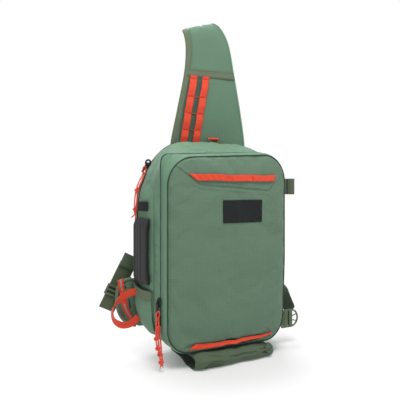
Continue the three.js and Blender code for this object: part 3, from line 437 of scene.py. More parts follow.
def turning_web(points, turns, count):
    """Centre, width and outward directions of a webbing whose width turns along its route"""
    centre, wide = catmull(points, count), catmull(turns, count)
    ahead = unit(np.gradient(centre, axis=0))
    wide -= ahead * (wide * ahead).sum(axis=1, keepdims=True)
    return centre, wide, np.cross(ahead, wide)


def tube_rings(points, radius, sides, loop=False):
    """Rings of a round tube that keeps its twist low"""
    points = np.asarray(points, float)
    if loop:
        ahead = np.roll(points, -1, axis=0) - np.roll(points, 1, axis=0)
    else:
        ahead = np.gradient(points, axis=0)
    ahead = unit(ahead)
    side = unit(np.cross(ahead[0], [0.31, 0.2, 0.93]))
    turns = np.linspace(0, 2 * math.pi, sides, endpoint=False)
    radius = np.broadcast_to(np.asarray(radius, float), (len(points),))
    rings = []
    for at, way, size in zip(points, ahead, radius):
        side = unit(side - way * side.dot(way))
        other = np.cross(way, side)
        rings.append([at + size * (side * math.cos(t) + other * math.sin(t)) for t in turns])
    return np.array(rings)


def tube_piece(name, points, radius, material, sides=10, body=BAG, loop=False):
    return sweep_piece(name, tube_rings(points, radius, sides, loop), material, body, None, loop)


class Heap:
    """Many small solids that make one piece"""

    def __init__(self):
        self.points = []
        self.faces = []
        self.uvs = []
        self.count = 0

    def add(self, rings, loop=False):
        rings = np.asarray(rings, float)
        rows, columns = rings.shape[:2]
        self.faces += grid_faces(rows, columns, loop, True, self.count)
        if not loop:
            self.faces.append(tuple(self.count + j for j in range(columns)))
            last = self.count + (rows - 1) * columns
            self.faces.append(tuple(last + j for j in reversed(range(columns))))
        self.points.append(rings.reshape(-1, 3))
        u = lengths(rings.mean(axis=1))
        v = np.linspace(0, 6, columns)
        self.uvs.append(uv_grid(u, v))
        self.count += rows * columns

    def piece(self, name, material):
        points, uvs = np.concatenate(self.points), np.concatenate(self.uvs)
        return face_outwards(mesh_piece(name, points, self.faces, uvs, material))


def stitch_line(heap, line, out, pitch=3.4, length=2.5, radius=0.38):
    """Thread stitches along a line of points, a little proud of the cloth"""
    line = np.asarray(line, float)
    out = np.broadcast_to(np.asarray(out, float), line.shape)
    run = lengths(line)
    starts = np.arange(0.4, run[-1] - length, pitch)
    shares = np.array([0, 0.25, 0.5, 0.75, 1])
    for start in starts:
        at = start + shares * length
        centre = np.stack([np.interp(at, run, line[:, i]) for i in range(3)], axis=1)
        up = np.array([np.interp(start, run, out[:, i]) for i in range(3)])
        rise = np.array([-0.3, 0.25, 0.4, 0.25, -0.3]) * radius
        heap.add(tube_rings(centre + up * rise[:, None], radius * np.array([0.5, 1, 1.05, 1, 0.5]), 5))


# Materials


def socket(node, name, value):
    if name in node.inputs:
        node.inputs[name].default_value = value


class Finish:
    """Builds one node material"""

    def __init__(self, name, colour, roughness, bump_height=0.1):
        self.material = bpy.data.materials.new(name)
        self.material.use_nodes = True
        self.tree = self.material.node_tree
        self.shader = self.tree.nodes["Principled BSDF"]
        self.colour = colour
        self.bump_height = bump_height
        socket(self.shader, "Roughness", roughness)
        self.bumps = []
        self.tone = None

    def node(self, kind, **values):
        node = self.tree.nodes.new(kind)
        for name, value in values.items():
            setattr(node, name, value)
        return node

    def link(self, a, b):
        self.tree.links.new(a, b)

    def math(self, operation, a, b=None, c=None):
        node = self.node("ShaderNodeMath", operation=operation)
        for i, value in enumerate((a, b, c)):
            if value is None:
                continue
            if hasattr(value, "is_linked"):
                self.link(value, node.inputs[i])
            else:
                node.inputs[i].default_value = value
        return node.outputs[0]

    def weave_axes(self):
        uv = self.node("ShaderNodeUVMap", uv_map="weave")
        split = self.node("ShaderNodeSeparateXYZ")
        self.link(uv.outputs[0], split.inputs[0])
        return split.outputs[0], split.outputs[1]

    def object_noise(self, scale, detail):
        place = self.node("ShaderNodeTexCoord")
        cloud = self.node("ShaderNodeTexNoise")
        cloud.inputs["Scale"].default_value = scale
        cloud.inputs["Detail"].default_value = detail
        cloud.inputs["Roughness"].default_value = 0.55
        self.link(place.outputs["Object"], cloud.inputs["Vector"])
        return cloud.outputs["Fac"]

    def wave(self, axis, period):
        """0 to 1 and back over a period in millimetres"""
        turned = self.math("MULTIPLY", axis, 2 * math.pi / (period * MM))
        return self.math("MULTIPLY_ADD", self.math("SINE", turned), 0.5, 0.5)

    def line(self, axis, pitch, share):
        """1 on a thin line that repeats every pitch millimetres"""
        cell = self.math("PINGPONG", self.math("MULTIPLY", axis, 1 / (pitch * MM)), 0.5)
        ramp = self.node("ShaderNodeMapRange", interpolation_type="SMOOTHSTEP")
        self.link(cell, ramp.inputs["Value"])
        ramp.inputs["From Min"].default_value = 0.5 - share
        ramp.inputs["From Max"].default_value = 0.5 - share * 0.4
        return ramp.outputs[0]

    def vary(self, value, dark, light):
        """Multiplies the tone by a number from dark to light as value goes from 0 to 1"""
        ramp = self.node("ShaderNodeMapRange")
        self.link(value, ramp.inputs["Value"])
        ramp.inputs["To Min"].default_value = dark
        ramp.inputs["To Max"].default_value = light
        factor = ramp.outputs[0]
        self.tone = factor if self.tone is None else self.math("MULTIPLY", self.tone, factor)

    def emboss(self, value, weight):
        self.bumps.append(self.math("MULTIPLY", value, weight))

    def finish(self):
        if self.tone is None:
            self.shader.inputs["Base Color"].default_value = (*self.colour, 1)
        else:
            scale = self.node("ShaderNodeVectorMath", operation="SCALE")
            scale.inputs[0].default_value = self.colour
            self.link(self.tone, scale.inputs["Scale"])
            self.link(scale.outputs[0], self.shader.inputs["Base Color"])
        if self.bumps:
            total = self.bumps[0]
            for value in self.bumps[1:]:
                total = self.math("ADD", total, value)
            bump_node = self.node("ShaderNodeBump")
            bump_node.inputs["Distance"].default_value = self.bump_height * MM
            bump_node.inputs["Strength"].default_value = 1.0
            self.link(total, bump_node.inputs["Height"])
            self.link(bump_node.outputs[0], self.shader.inputs["Normal"])
        return self.material


def srgb(red, green, blue):
    """Linear colour from 0 to 255 screen values"""
    def channel(value):
        value /= 255
        return value / 12.92 if value <= 0.04045 else ((value + 0.055) / 1.055) ** 2.4
    return channel(red), channel(green), channel(blue)


def ripstop(name, colour, grid=5.0, contrast=0.86):
    """Plain weave with a grid of thicker threads"""
    made = Finish(name, colour, 0.78, 0.25)
    socket(made.shader, "Sheen Weight", 0.12)
    socket(made.shader, "Sheen Roughness", 0.5)
    socket(made.shader, "Specular IOR Level", 0.3)
    u, v = made.weave_axes()
    lines = made.math("MAXIMUM", made.line(u, grid, 0.14), made.line(v, grid, 0.14))
    threads = made.math("MULTIPLY", made.wave(u, 0.9), made.wave(v, 0.9))
    made.vary(lines, 1.0, contrast)
    made.vary(threads, 0.93, 1.07)
    made.vary(made.object_noise(14, 4), 0.92, 1.08)
    made.vary(made.object_noise(420, 2), 0.93, 1.07)
    made.emboss(lines, 0.45)
    made.emboss(threads, 0.4)
    made.emboss(made.object_noise(55, 4), 2.0)
    return made.finish()


def plain_cloth(name, colour, period=0.8, roughness=0.8, sheen=0.15, crumple=2.0):
    made = Finish(name, colour, roughness, 0.25)
    socket(made.shader, "Sheen Weight", sheen)
    socket(made.shader, "Sheen Roughness", 0.45)
    socket(made.shader, "Specular IOR Level", 0.3)
    u, v = made.weave_axes()
    threads = made.math("MULTIPLY", made.wave(u, period), made.wave(v, period))
    made.vary(threads, 0.9, 1.1)
    made.vary(made.object_noise(12, 4), 0.92, 1.08)
    made.emboss(threads, 0.6)
    made.emboss(made.object_noise(45, 4), crumple)
    return made.finish()


def webbing(name, colour, rib=1.7, roughness=0.62, depth=0.4, dark=0.82):
    """Flat woven webbing with ribs across its length"""
    made = Finish(name, colour, roughness, depth)
    socket(made.shader, "Sheen Weight", 0.1)
    socket(made.shader, "Specular IOR Level", 0.35)
    u, v = made.weave_axes()
    ribs = made.wave(u, rib)
    fine = made.wave(v, 1.1)
    made.vary(ribs, dark, 1.06)
    made.vary(fine, 0.94, 1.04)
    made.vary(made.object_noise(30, 3), 0.92, 1.08)
    made.emboss(ribs, 1.0)
    made.emboss(fine, 0.4)
    return made.finish()


def moulded(name, colour, roughness=0.42, grain=900, speck=0.06):
    made = Finish(name, colour, roughness, 0.12)
    socket(made.shader, "Specular IOR Level", 0.45)
    made.vary(made.object_noise(30, 3), 1 - speck, 1 + speck)
    made.emboss(made.object_noise(grain, 2), 1.0)
    return made.finish()


def braided(name, colour):
    """Cord with a spiral braid"""
    made = Finish(name, colour, 0.62, 0.35)
    socket(made.shader, "Sheen Weight", 0.2)
    u, v = made.weave_axes()
    one = made.wave(made.math("ADD", u, v), 1.6)
    two = made.wave(made.math("SUBTRACT", u, v), 1.6)
    braid = made.math("MAXIMUM", one, two)
    made.vary(braid, 0.75, 1.08)
    made.emboss(braid, 1.0)
    return made.finish()


SAGE = ripstop("sage_ripstop", srgb(98, 125, 103))
LIGHT = plain_cloth("light_sage_cloth", srgb(107, 143, 117))
STRAP_CLOTH = ripstop("strap_ripstop", srgb(97, 128, 105), 4.0, 0.9)
DRAB = plain_cloth("drab_cloth", srgb(86, 102, 80), 0.7, 0.7, 0.1, 3.0)
# Darker cloth for the roll's inner layers: painted shade in the hollow of its open end
HOLLOW_SHADE_CLOTH = plain_cloth("sleeve_hollow_shade", srgb(52, 66, 54), 1.0, 0.85)
SPACER = plain_cloth("spacer_mesh", srgb(58, 72, 60), 2.2, 0.9, 0.2)
OLIVE_TAPE = webbing("olive_binding_tape", srgb(104, 117, 93), 1.2, 0.75, 0.25, 0.88)
OLIVE_WEB = webbing("olive_webbing", srgb(88, 100, 76), 2.0, 0.7, 0.5, 0.8)
DARK_WEB = webbing("dark_webbing", srgb(58, 70, 56), 1.8)
# Black webbing used only for painted shade: the wing pocket's opening and the gap beside the wing
SHADE_BLACK_WEB = webbing("painted_shade_webbing", srgb(34, 38, 34), 1.8)
DARK_GREEN_WEB = webbing("dark_green_webbing", srgb(66, 92, 76), 1.4)
STRAP_EDGE = plain_cloth("strap_edge", srgb(112, 148, 122), 0.8)
ORANGE = webbing("orange_webbing", srgb(228, 68, 36), 1.3, 0.55, 0.22, 0.9)
# Dark cloth of the seam cord, also used for sheets of painted shade in gaps, under the lower strip and in
# the side pocket's mouth
SEAM_AND_SHADE_DARK = plain_cloth("seam_tape_and_painted_shade", srgb(44, 66, 54), 0.8)
ZIP_TAPE = plain_cloth("zip_tape", srgb(38, 56, 47), 0.8, 0.8)
COIL = moulded("zip_coil", srgb(30, 42, 36), 0.4)
BLACK = moulded("black_plastic", srgb(27, 27, 29), 0.38)
RUBBER = moulded("handle_rubber", srgb(48, 47, 47), 0.55, 700, 0.1)
OLIVE_PLASTIC = moulded("olive_plastic", srgb(90, 106, 79), 0.36)
PATCH = plain_cloth("black_patch", srgb(24, 27, 28), 0.9, 0.75, 0.05, 0.6)
SHINE = plain_cloth("reflective_line", srgb(168, 150, 140), 0.7, 0.45)
CORD = braided("orange_cord", srgb(238, 72, 40))
THREAD_GREEN = plain_cloth("green_thread", srgb(84, 112, 94), 0.6, 0.7)
THREAD_ORANGE = plain_cloth("orange_thread", srgb(214, 70, 44), 0.6, 0.7)
THREAD_BLACK = plain_cloth("black_thread", srgb(28, 30, 31), 0.6, 0.7)

# The camera stands 26 degrees to the left of the front, level with the middle of the bag
FRAME_PIXELS = 400
FOCAL_PIXELS = 475
HORIZON_PIXELS = 187
CAMERA_TURN = math.radians(-26.1)
CAMERA_AT = (-508, -956, 379)


def add_camera():
    data = bpy.data.cameras.new("camera")
    data.sensor_width = 36
    data.lens = 36 * FOCAL_PIXELS / FRAME_PIXELS
    data.shift_y = (HORIZON_PIXELS - FRAME_PIXELS / 2) / FRAME_PIXELS
    data.clip_end = 50
    camera = placed("camera", data)
    camera.location = Vector(CAMERA_AT) * MM
    camera.rotation_euler = (math.pi / 2, 0, CAMERA_TURN)
    bpy.context.scene.camera = camera


add_camera()


# Pull cords: routes of x, depth and height, as in the part's source
CORD_DIAMETER = 3
CORD_ROUTES = {
    "main_pull_cord": [(-155.7, 109, 412), (-161.3, 109, 401), (-169, 109, 386), (-173.5, 109, 371),
                       (-176.3, 109, 355), (-177.3, 109, 339), (-177, 109, 322)],
    "front_pull_cord_upper": [(-158, 20, 112), (-160, 18, 102), (-162, 16, 88), (-163, 15, 74),
                              (-162, 14, 60), (-160, 13, 48)],
    "front_pull_cord_lower": [(-157, 20, 82), (-158, 17, 72), (-157, 15, 58), (-156, 13, 44),
                              (-155, 12, 30), (-154, 11, 20)],
}
# Shares of the route where the two strands are knotted, and how the tails spread
CORD_KNOTS = {
    "main_pull_cord": ((0.52, 0.93), ((-9, -3, -9), (-2, -6, -13))),
    "front_pull_cord_upper": ((0.66, 0.96), ((-1.8, -2.4, -8.4), (2.4, -3.0, -7.2))),
    "front_pull_cord_lower": ((0.72, 0.96), ((-3.0, -2.4, -7.2), (1.8, -2.4, -6.0))),
}
CORD_BIGHT = (
    (-1.6, -1.5, -4), (-3.4, -3.6, 5), (-2.4, -5.2, 11), (1.6, -5.2, 12), (3.4, -3.8, 6), (2.6, -1.5, -4))


def overhand_knot(heap, centre, ahead, size):
    """A small knot: a cord that winds through itself"""
    side = unit(np.cross(ahead, [0.1, 1.0, 0.0]))
    out = np.cross(side, ahead)
    turns = np.linspace(0, 2 * math.pi, 44, endpoint=False)
    points = []
    for t in turns:
        flat = size * (math.sin(t) + 2 * math.sin(2 * t)) / 3
        tall = size * (math.cos(t) - 2 * math.cos(2 * t)) / 3
        deep = -size * 0.5 * math.sin(3 * t)
        points.append(centre + side * flat + out * deep + ahead * tall)
    heap.add(tube_rings(points, CORD_DIAMETER * 0.56, 10, True), True)


def frayed_tail(heap, start, way, rng):
    """A short free end that splits into threads"""
    side = unit(np.cross(way, [0, 1, 0.2]))
    share = np.linspace(0, 1, 8)[:, None]
    line = start + way * share + side * 1.2 * np.sin(share * 3.0)
    heap.add(tube_rings(line, CORD_DIAMETER * np.interp(share[:, 0], [0, 0.85, 1], [0.48, 0.48, 0.4]), 8))
    for _ in range(7):
        spread = np.array([rng.uniform(-1, 1), rng.uniform(-1, 1), rng.uniform(-1, 0.2)])
        tip = line[-1] + unit(way) * rng.uniform(1.5, 3.5) + spread
        strand = np.stack([mix(line[-1], tip, t) for t in (0, 0.5, 1)])
        heap.add(tube_rings(strand, [0.5, 0.35, 0.15], 5))


def add_cords():
    rng = random.Random(7)
    for name, (knots, tails) in CORD_KNOTS.items():
        line = catmull([(x, FRONT_Y + depth, z) for x, depth, z in CORD_ROUTES[name]], 24)
        data = bpy.data.curves.new(name + "_strand", "CURVE")
        data.dimensions = "3D"
        data.bevel_depth = CORD_DIAMETER / 2 * MM
        data.bevel_resolution = 4
        data.use_fill_caps = True
        spline = data.splines.new("POLY")
        spline.points.add(len(line) - 1)
        for i, at in enumerate(line):
            spline.points[i].co = (*(at * MM), 1)
        data.materials.append(CORD)
        strand = placed(name + "_strand", data)
        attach(strand, BAG)
        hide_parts(name)
        heap = Heap()
        ahead = unit(np.gradient(line, axis=0))
        side = unit(np.cross(ahead, [0, 1, 0]))
        share = np.linspace(0, 1, len(line))
        apart = np.zeros(len(line))
        for low, high in zip((0,) + knots[:-1], knots):
            span = np.clip((share - low) / (high - low), 0, 1)
            apart += np.sin(span * math.pi)
        shift = side * (2.6 + 2.0 * apart)[:, None] * np.interp(share, [0, 0.06, 1], [0.4, 1, 1])[:, None]
        second = line + shift + np.array([0, -1.2, 0])
        heap.add(tube_rings(second, CORD_DIAMETER * 0.54, 10))
        for knot in knots:
            at = int(knot * (len(line) - 1))
            overhand_knot(heap, line[at] + shift[at] * 0.5, ahead[at], 4.5)
        for tail in tails:
            frayed_tail(heap, line[-1] + shift[-1] * 0.5, np.array(tail), rng)
        # The bight goes through the eye of the pull
        heap.add(tube_rings(catmull(line[0] + np.array(CORD_BIGHT), 30), CORD_DIAMETER * 0.5, 10))
        extras = heap.piece(name + "_knots", CORD)


add_cords()


def stand_for(piece, slot, *nodes):
    """Hides the solids that a piece stands for; its slot is not used"""
    if nodes:
        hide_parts(*nodes)
    return piece


# The body


def bead(depth):
    """How far the front band of the gusset stands out of the outline"""
    round_part = 3.4 * np.sin(np.clip(depth / 17, 0, 1) * math.pi) ** 0.6
    flap = 2.2 * np.sin(np.clip((depth - 17) / 5.5, 0, 1) * math.pi) ** 0.5
    return round_part + flap - 0.6


def add_gusset():
    along = np.linspace(0, 1, 420, endpoint=False)
    depths = np.concatenate([np.linspace(0.6, 17, 14), np.linspace(17.5, 22.4, 8)])
    rows = [wall(along, depth, float(bead(depth))) for depth in depths]
    inner = [wall(along, depth, -2.0) for depth in (22.4, 12, 0.6)]
    grid = np.stack(rows + inner, axis=1)
    for i, j in np.ndindex(grid.shape[0], len(rows)):
        grid[i, j] += wrinkle_at(grid[i, j], 0.035, 0.5)
    stand_for(looped_piece("gusset_cloth", grid, LIGHT), "light_cloth", "front_gusset")


def wrinkle_at(point, scale, height):
    """A small push in all directions from smooth noise"""
    at = Vector((point[0] * scale, point[1] * scale, point[2] * scale))
    return np.array(noise.noise_vector(at)) * height


def crease_amount(along):
    """1 where the front pocket bulges ahead of a crease, on the lower left and right sides"""
    left = smooth(0.03, 0.1, along) * (1 - smooth(0.335, 0.40, along))
    right = smooth(0.60, 0.67, along) * (1 - smooth(0.9, 0.97, along))
    return left + right


def top_fold(along):
    """1 where the slack cloth folds on the crest"""
    return bump(along, 0.42, 0.035) + 0.7 * bump(along, 0.56, 0.04)


def add_body():
    along = np.linspace(0, 1, 420, endpoint=False)
    depths = np.concatenate([
        np.linspace(25.6, 30, 5), np.linspace(32, 56, 16), np.linspace(60, 104, 12),
        np.linspace(105, 113, 9), np.linspace(116, 128, 5)])
    crease = crease_amount(along)
    ease = -2.4 * smooth(0.05, 0.12, along) * (1 - smooth(0.66, 0.72, along))
    rows = []
    for depth in depths:
        rise = float(smooth(25, 30, depth)) * 3.0 - 2.0
        band = 3.5 * float(bump(depth, 38, 8)) * crease
        fold = -5.5 * float(bump(depth, 51, 3.2)) * crease
        belly = 2.0 * math.sin(min(max((depth - 52) / 56, 0), 1) * math.pi)
        trench = -1.6 * float(bump(depth, MAIN_ZIP_DEPTH, 2.4))
        end = -2.0 * float(smooth(121, 128, depth))
        crest = -2.2 * float(bump(depth, 74, 6)) * top_fold(along)
        crest -= 1.2 * float(bump(depth, 92, 4)) * top_fold(along + 0.03)
        swell = (rise + belly) * (1 + ease / 3)
        rows.append(wall(along, depth, swell + 0.6 * ease + band + fold + trench + end + crest))
    grid = np.stack(rows, axis=1)
    for i, j in np.ndindex(grid.shape[0], grid.shape[1]):
        grid[i, j] += wrinkle_at(grid[i, j], 0.022, 1.6) + wrinkle_at(grid[i, j], 0.07, 0.5)
    held = np.zeros(grid.shape[:2])
    held[:, (depths < 29) | (np.abs(depths - MAIN_ZIP_DEPTH) < 5) | (depths > 126)] = 1
    held[grid[..., 2] < BODY_BOTTOM + 6] = 1
    held[(grid[..., 0] < 0) & (grid[..., 2] < 345) & (np.abs(depths - 80) < 35)] = 1
    faces = grid_faces(*grid.shape[:2], True, False)
    if np.dot(normals(grid)[210, 20], grid[210, 20] - np.array([0, 0, 250])) < 0:
        faces = [face[::-1] for face in faces]
    grid = relax(grid.reshape(-1, 3), faces, held.ravel(), 0.012, 0.5, 3.5, 14).reshape(grid.shape)
    inner = [wall(along, depth, -4.5) for depth in (127, 80, 30)]
    grid = np.concatenate([grid, np.stack(inner, axis=1)], axis=1)
    stand_for(looped_piece("compartment_cloth", grid, LIGHT), "light_cloth", "main_compartment")


def add_zip(name, depth, start, end):
    """A coil zip: a strip of tape in its trench and two rows of coils"""
    share = np.linspace(0, 1, 320)
    along = mix(start, end, share)
    strips = [wall(along, depth + shift, lift) for shift, lift in
              ((-3.4, -1.6), (-1.6, -0.6), (0, -0.3), (1.6, -0.6), (3.4, -1.6))]
    grid = np.stack(strips, axis=1)
    tape = shell_piece(name + "_tape", grid, 0.8, ZIP_TAPE)
    stand_for(tape, "zip_coil", name)
    run = lengths(wall(along, depth, 0.3))
    heap = Heap()
    count = int(run[-1] / 2.2)
    for i in range(count):
        at = np.interp((i + 0.5) * run[-1] / count, run, along)
        for side in (-1, 1):
            near = wall(np.array([at]), depth + 0.2 * side, 0.5)[0]
            far = wall(np.array([at + 0.0006 * side]), depth + 1.9 * side, -0.1)[0]
            heap.add(tube_rings(np.stack([near, mix(near, far, 0.5) + 0.15, far]), [0.5, 0.65, 0.45], 5))
    stand_for(heap.piece(name + "_coils", COIL), "zip_coil")


def panel_edges(along):
    """Left and right points of the front panel's outline"""
    at = section(0)
    left = outline(along, at)
    x, z = outline(1 - along, at)
    return np.stack(left, axis=-1), np.stack([x - tuck(x, z), z], axis=-1)


# Seams sewn across the front panel, as x and height
TRAPEZOID = ((-126, 420), (-73.7, 382.1), (94.3, 369.6), (116, 392))
LOW_SEAM_LEFT = ((-117, 42.5), (-83, 53.5))
LOW_SEAM_RIGHT = ((91, 63), (106, 52))
PANEL_SEAMS = (TRAPEZOID, LOW_SEAM_LEFT, LOW_SEAM_RIGHT)
LABEL_LEFT, LABEL_TOP, LABEL_RIGHT, LABEL_LOW = -24, 351, 74, 302.5


def to_segments(points, line, closed=False):
    """Distance from points of x and z to a broken line"""
    best = np.full(points.shape[:-1], 1e9)
    ends = list(zip(line, line[1:])) + ([(line[-1], line[0])] if closed else [])
    for a, b in ends:
        a, b = np.array(a, float), np.array(b, float)
        way = b - a
        t = np.clip(((points - a) @ way) / way.dot(way), 0, 1)
        best = np.minimum(best, np.linalg.norm(points - a - t[..., None] * way, axis=-1))
    return best


# How much further the stuffed cloth stands out than the plain form
PANEL_STUFFED = 4


def panel_noise(x, z):
    """Soft unevenness of the stuffed panel"""
    flat_x, flat_z = np.ravel(x), np.ravel(z)
    rise = [2.4 * noise.noise((a * 0.012, 0, b * 0.012)) + 0.7 * noise.noise((a * 0.045, 5, b * 0.045))
            for a, b in zip(flat_x, flat_z)]
    return np.array(rise).reshape(np.shape(x))


def panel_relief(x, z):
    """How far the front panel stands out of FRONT_Y at places on it, in millimetres"""
    at = section(0)
    mid_x, mid_z = (at["left"] + at["right"]) / 2, (at["bottom"] + at["top"]) / 2
    half_x, half_z = (at["right"] - at["left"]) / 2, (at["top"] - at["bottom"]) / 2
    share_x = np.clip(np.abs(x - mid_x) / half_x, 0, 1)
    share_z = np.clip(np.abs(z - mid_z) / half_z, 0, 1)
    relief = (PANEL_BULGE + PANEL_STUFFED) * (1 - share_x**4) * (1 - share_z**6) + 2.0
    places = np.stack([x, z], axis=-1)
    for line in PANEL_SEAMS:
        gap = to_segments(places, line)
        relief -= 1.3 * bump(gap, 0, 1.6)
        relief += 0.7 * bump(gap, 4.5, 3.0)
    # Long soft folds: two from the upper left corner, one low on the left, and gathers at the foot
    relief += 1.5 * bump(to_segments(places, ((-60, 428), (40, 380))), 0, 11)
    relief += 1.0 * bump(to_segments(places, ((-100, 330), (-60, 120))), 0, 22)
    relief -= 1.2 * bump(to_segments(places, ((110, 330), (95, 130))), 0, 20)
    low = 1 - smooth(52, 78, z)
    relief += low * 1.6 * np.sin(x / 9.5 + 0.8 * np.sin(x / 23)) * bump(x, 20, 62)
    relief -= 3.2 * bump(z, 51, 4.5) * (1 - smooth(96, 112, np.abs(x)))
    # The cloth puckers a little where it is sewn into the seam
    near_side = smooth(0.86, 0.97, share_x)
    near_end = smooth(0.9, 0.98, share_z)
    relief += 1.1 * near_side * np.sin(z / 7.3 + 1.4 * np.sin(z / 31)) * (1 - near_end)
    relief += 0.8 * near_end * np.sin(x / 6.7 + 1.3 * np.sin(x / 27)) * (1 - near_side)
    inside = (1 - share_x**10) * (1 - share_z**10)
    return relief + inside * panel_noise(x, z)


def panel_depth(x, z):
    """y of the finished cloth at a place, or of its nearest point past the rim"""
    hit = panel_skin.ray_cast(Vector((x, FRONT_Y - 80, z)), Vector((0, 1, 0)))[0]
    if hit is None:
        hit = panel_skin.find_nearest(Vector((x, FRONT_Y - 4, z)))[0]
    return hit.y


def panel_point(x, z, lift=0.0):
    """Points at a lift over the finished cloth of the front panel"""
    x, z, lift = np.broadcast_arrays(np.asarray(x, float), np.asarray(z, float), np.asarray(lift, float))
    y = [panel_depth(float(a), float(b)) for a, b in zip(x.flat, z.flat)]
    return np.stack([x, np.reshape(y, x.shape) - lift, z], axis=-1)


def add_front_panel():
    """Sews the front panel, and keeps its finished cloth for what lies on it"""
    global panel_skin
    along = np.concatenate([
        np.linspace(0.06, 0.20, 26)[:-1], np.linspace(0.20, 0.33, 120)[:-1], np.linspace(0.33, 0.47, 32)])
    left, right = panel_edges(along)
    share = np.linspace(0, 1, 128)
    flat = left[:, None] + (right - left)[:, None] * share[None, :, None]
    x, z = flat[..., 0], flat[..., 1]
    grid = np.stack([x, FRONT_Y - panel_relief(x, z), z], axis=-1)
    rim = np.concatenate([left, right[::-1]])
    gap = to_segments(flat, [tuple(p) for p in rim], True)
    grid[..., 1] += 5.5 * np.clip(1 - gap / 9, 0, 1) ** 2.2
    seams = np.min([to_segments(flat, line) for line in PANEL_SEAMS], axis=0)
    held = np.maximum(gap < 2.5, 0.9 * (seams < 1.6)).ravel()
    # Facing the front, so that the pressure pushes the cloth out
    outward = [face[::-1] for face in grid_faces(*grid.shape[:2])]
    grid = relax(grid.reshape(-1, 3), outward, held, 0.006, 0.6, 4.5, 16).reshape(grid.shape)
    back = grid + np.array([0, 1.8, 0])
    stand_for(slab_piece("panel_cloth", grid, back, flat, SAGE), "sage_cloth", "front_panel")
    points = np.concatenate([grid.reshape(-1, 3), back.reshape(-1, 3)])
    panel_skin = BVHTree.FromPolygons(points.tolist(), slab_faces(*grid.shape[:2]))
    heap = Heap()
    for line in PANEL_SEAMS:
        run = catmull(line, 2) if len(line) == 2 else np.array(line, float)
        dense = np.concatenate([mix(np.array(a), np.array(b), np.linspace(0, 1, 40)[:, None])
                                for a, b in zip(run, run[1:])])
        stitch_line(heap, panel_point(dense[:, 0], dense[:, 1] + 3.2, 0.2), (0, -1, 0))
    stand_for(heap.piece("panel_stitches", THREAD_GREEN), "sage_cloth")


def add_panel_seam():
    """The dark cord of cloth in the groove between the panel and the bead, dark partly for the seam and
    partly as painted shade in the groove
    """
    along = np.linspace(0, 1, 400, endpoint=False)
    line = wall(along, 0.4, 0.2)
    stand_for(tube_piece("panel_seam", line, 1.3, SEAM_AND_SHADE_DARK, 8, BAG, True), "zip_coil")


def panel_sheet(name, x, z, lift, thick, material):
    """A sheet sewn on the front panel, with its outer face at a lift over the panel's cloth"""
    outer = panel_point(x, z, lift)
    return slab_piece(name, outer, outer + np.array([0, thick, 0]), np.stack([x, z], axis=-1), material)


def strip_on_panel(name, node, start, end, width_at, slant, lift, sag_at):
    """An orange strip across the panel. Start and end are x and z of its upper corners."""
    share, down = np.meshgrid(np.linspace(0, 1, 150), np.linspace(0, 1, 11), indexing="ij")
    low, high = np.array(start, float), np.array(end, float)
    width = width_at(share)
    x = low[0] + (high[0] - low[0]) * share + width * down * (slant * (1 - share) - 0.35 * share)
    z = low[1] + (high[1] - low[1]) * share - width * down - sag_at(share)
    piece = panel_sheet(name, x, z, WEB_THICK + 0.5 + lift(share, down), WEB_THICK, ORANGE)
    return stand_for(piece, "orange_webbing", node)


# x of the upper strip's ends and bartacks, and sags of the lower strip
STRIP_ENDS = (-99.5, 115.3)
TOP_TACKS = (-13.1, 49)
LOW_SAGS = (
    (0, 0), (0.1, 1.6), (0.2, 2.8), (0.37, 2.9), (0.5, 3.1), (0.6, 2.2), (0.7, 1.2), (0.85, 1.8), (1, 0))


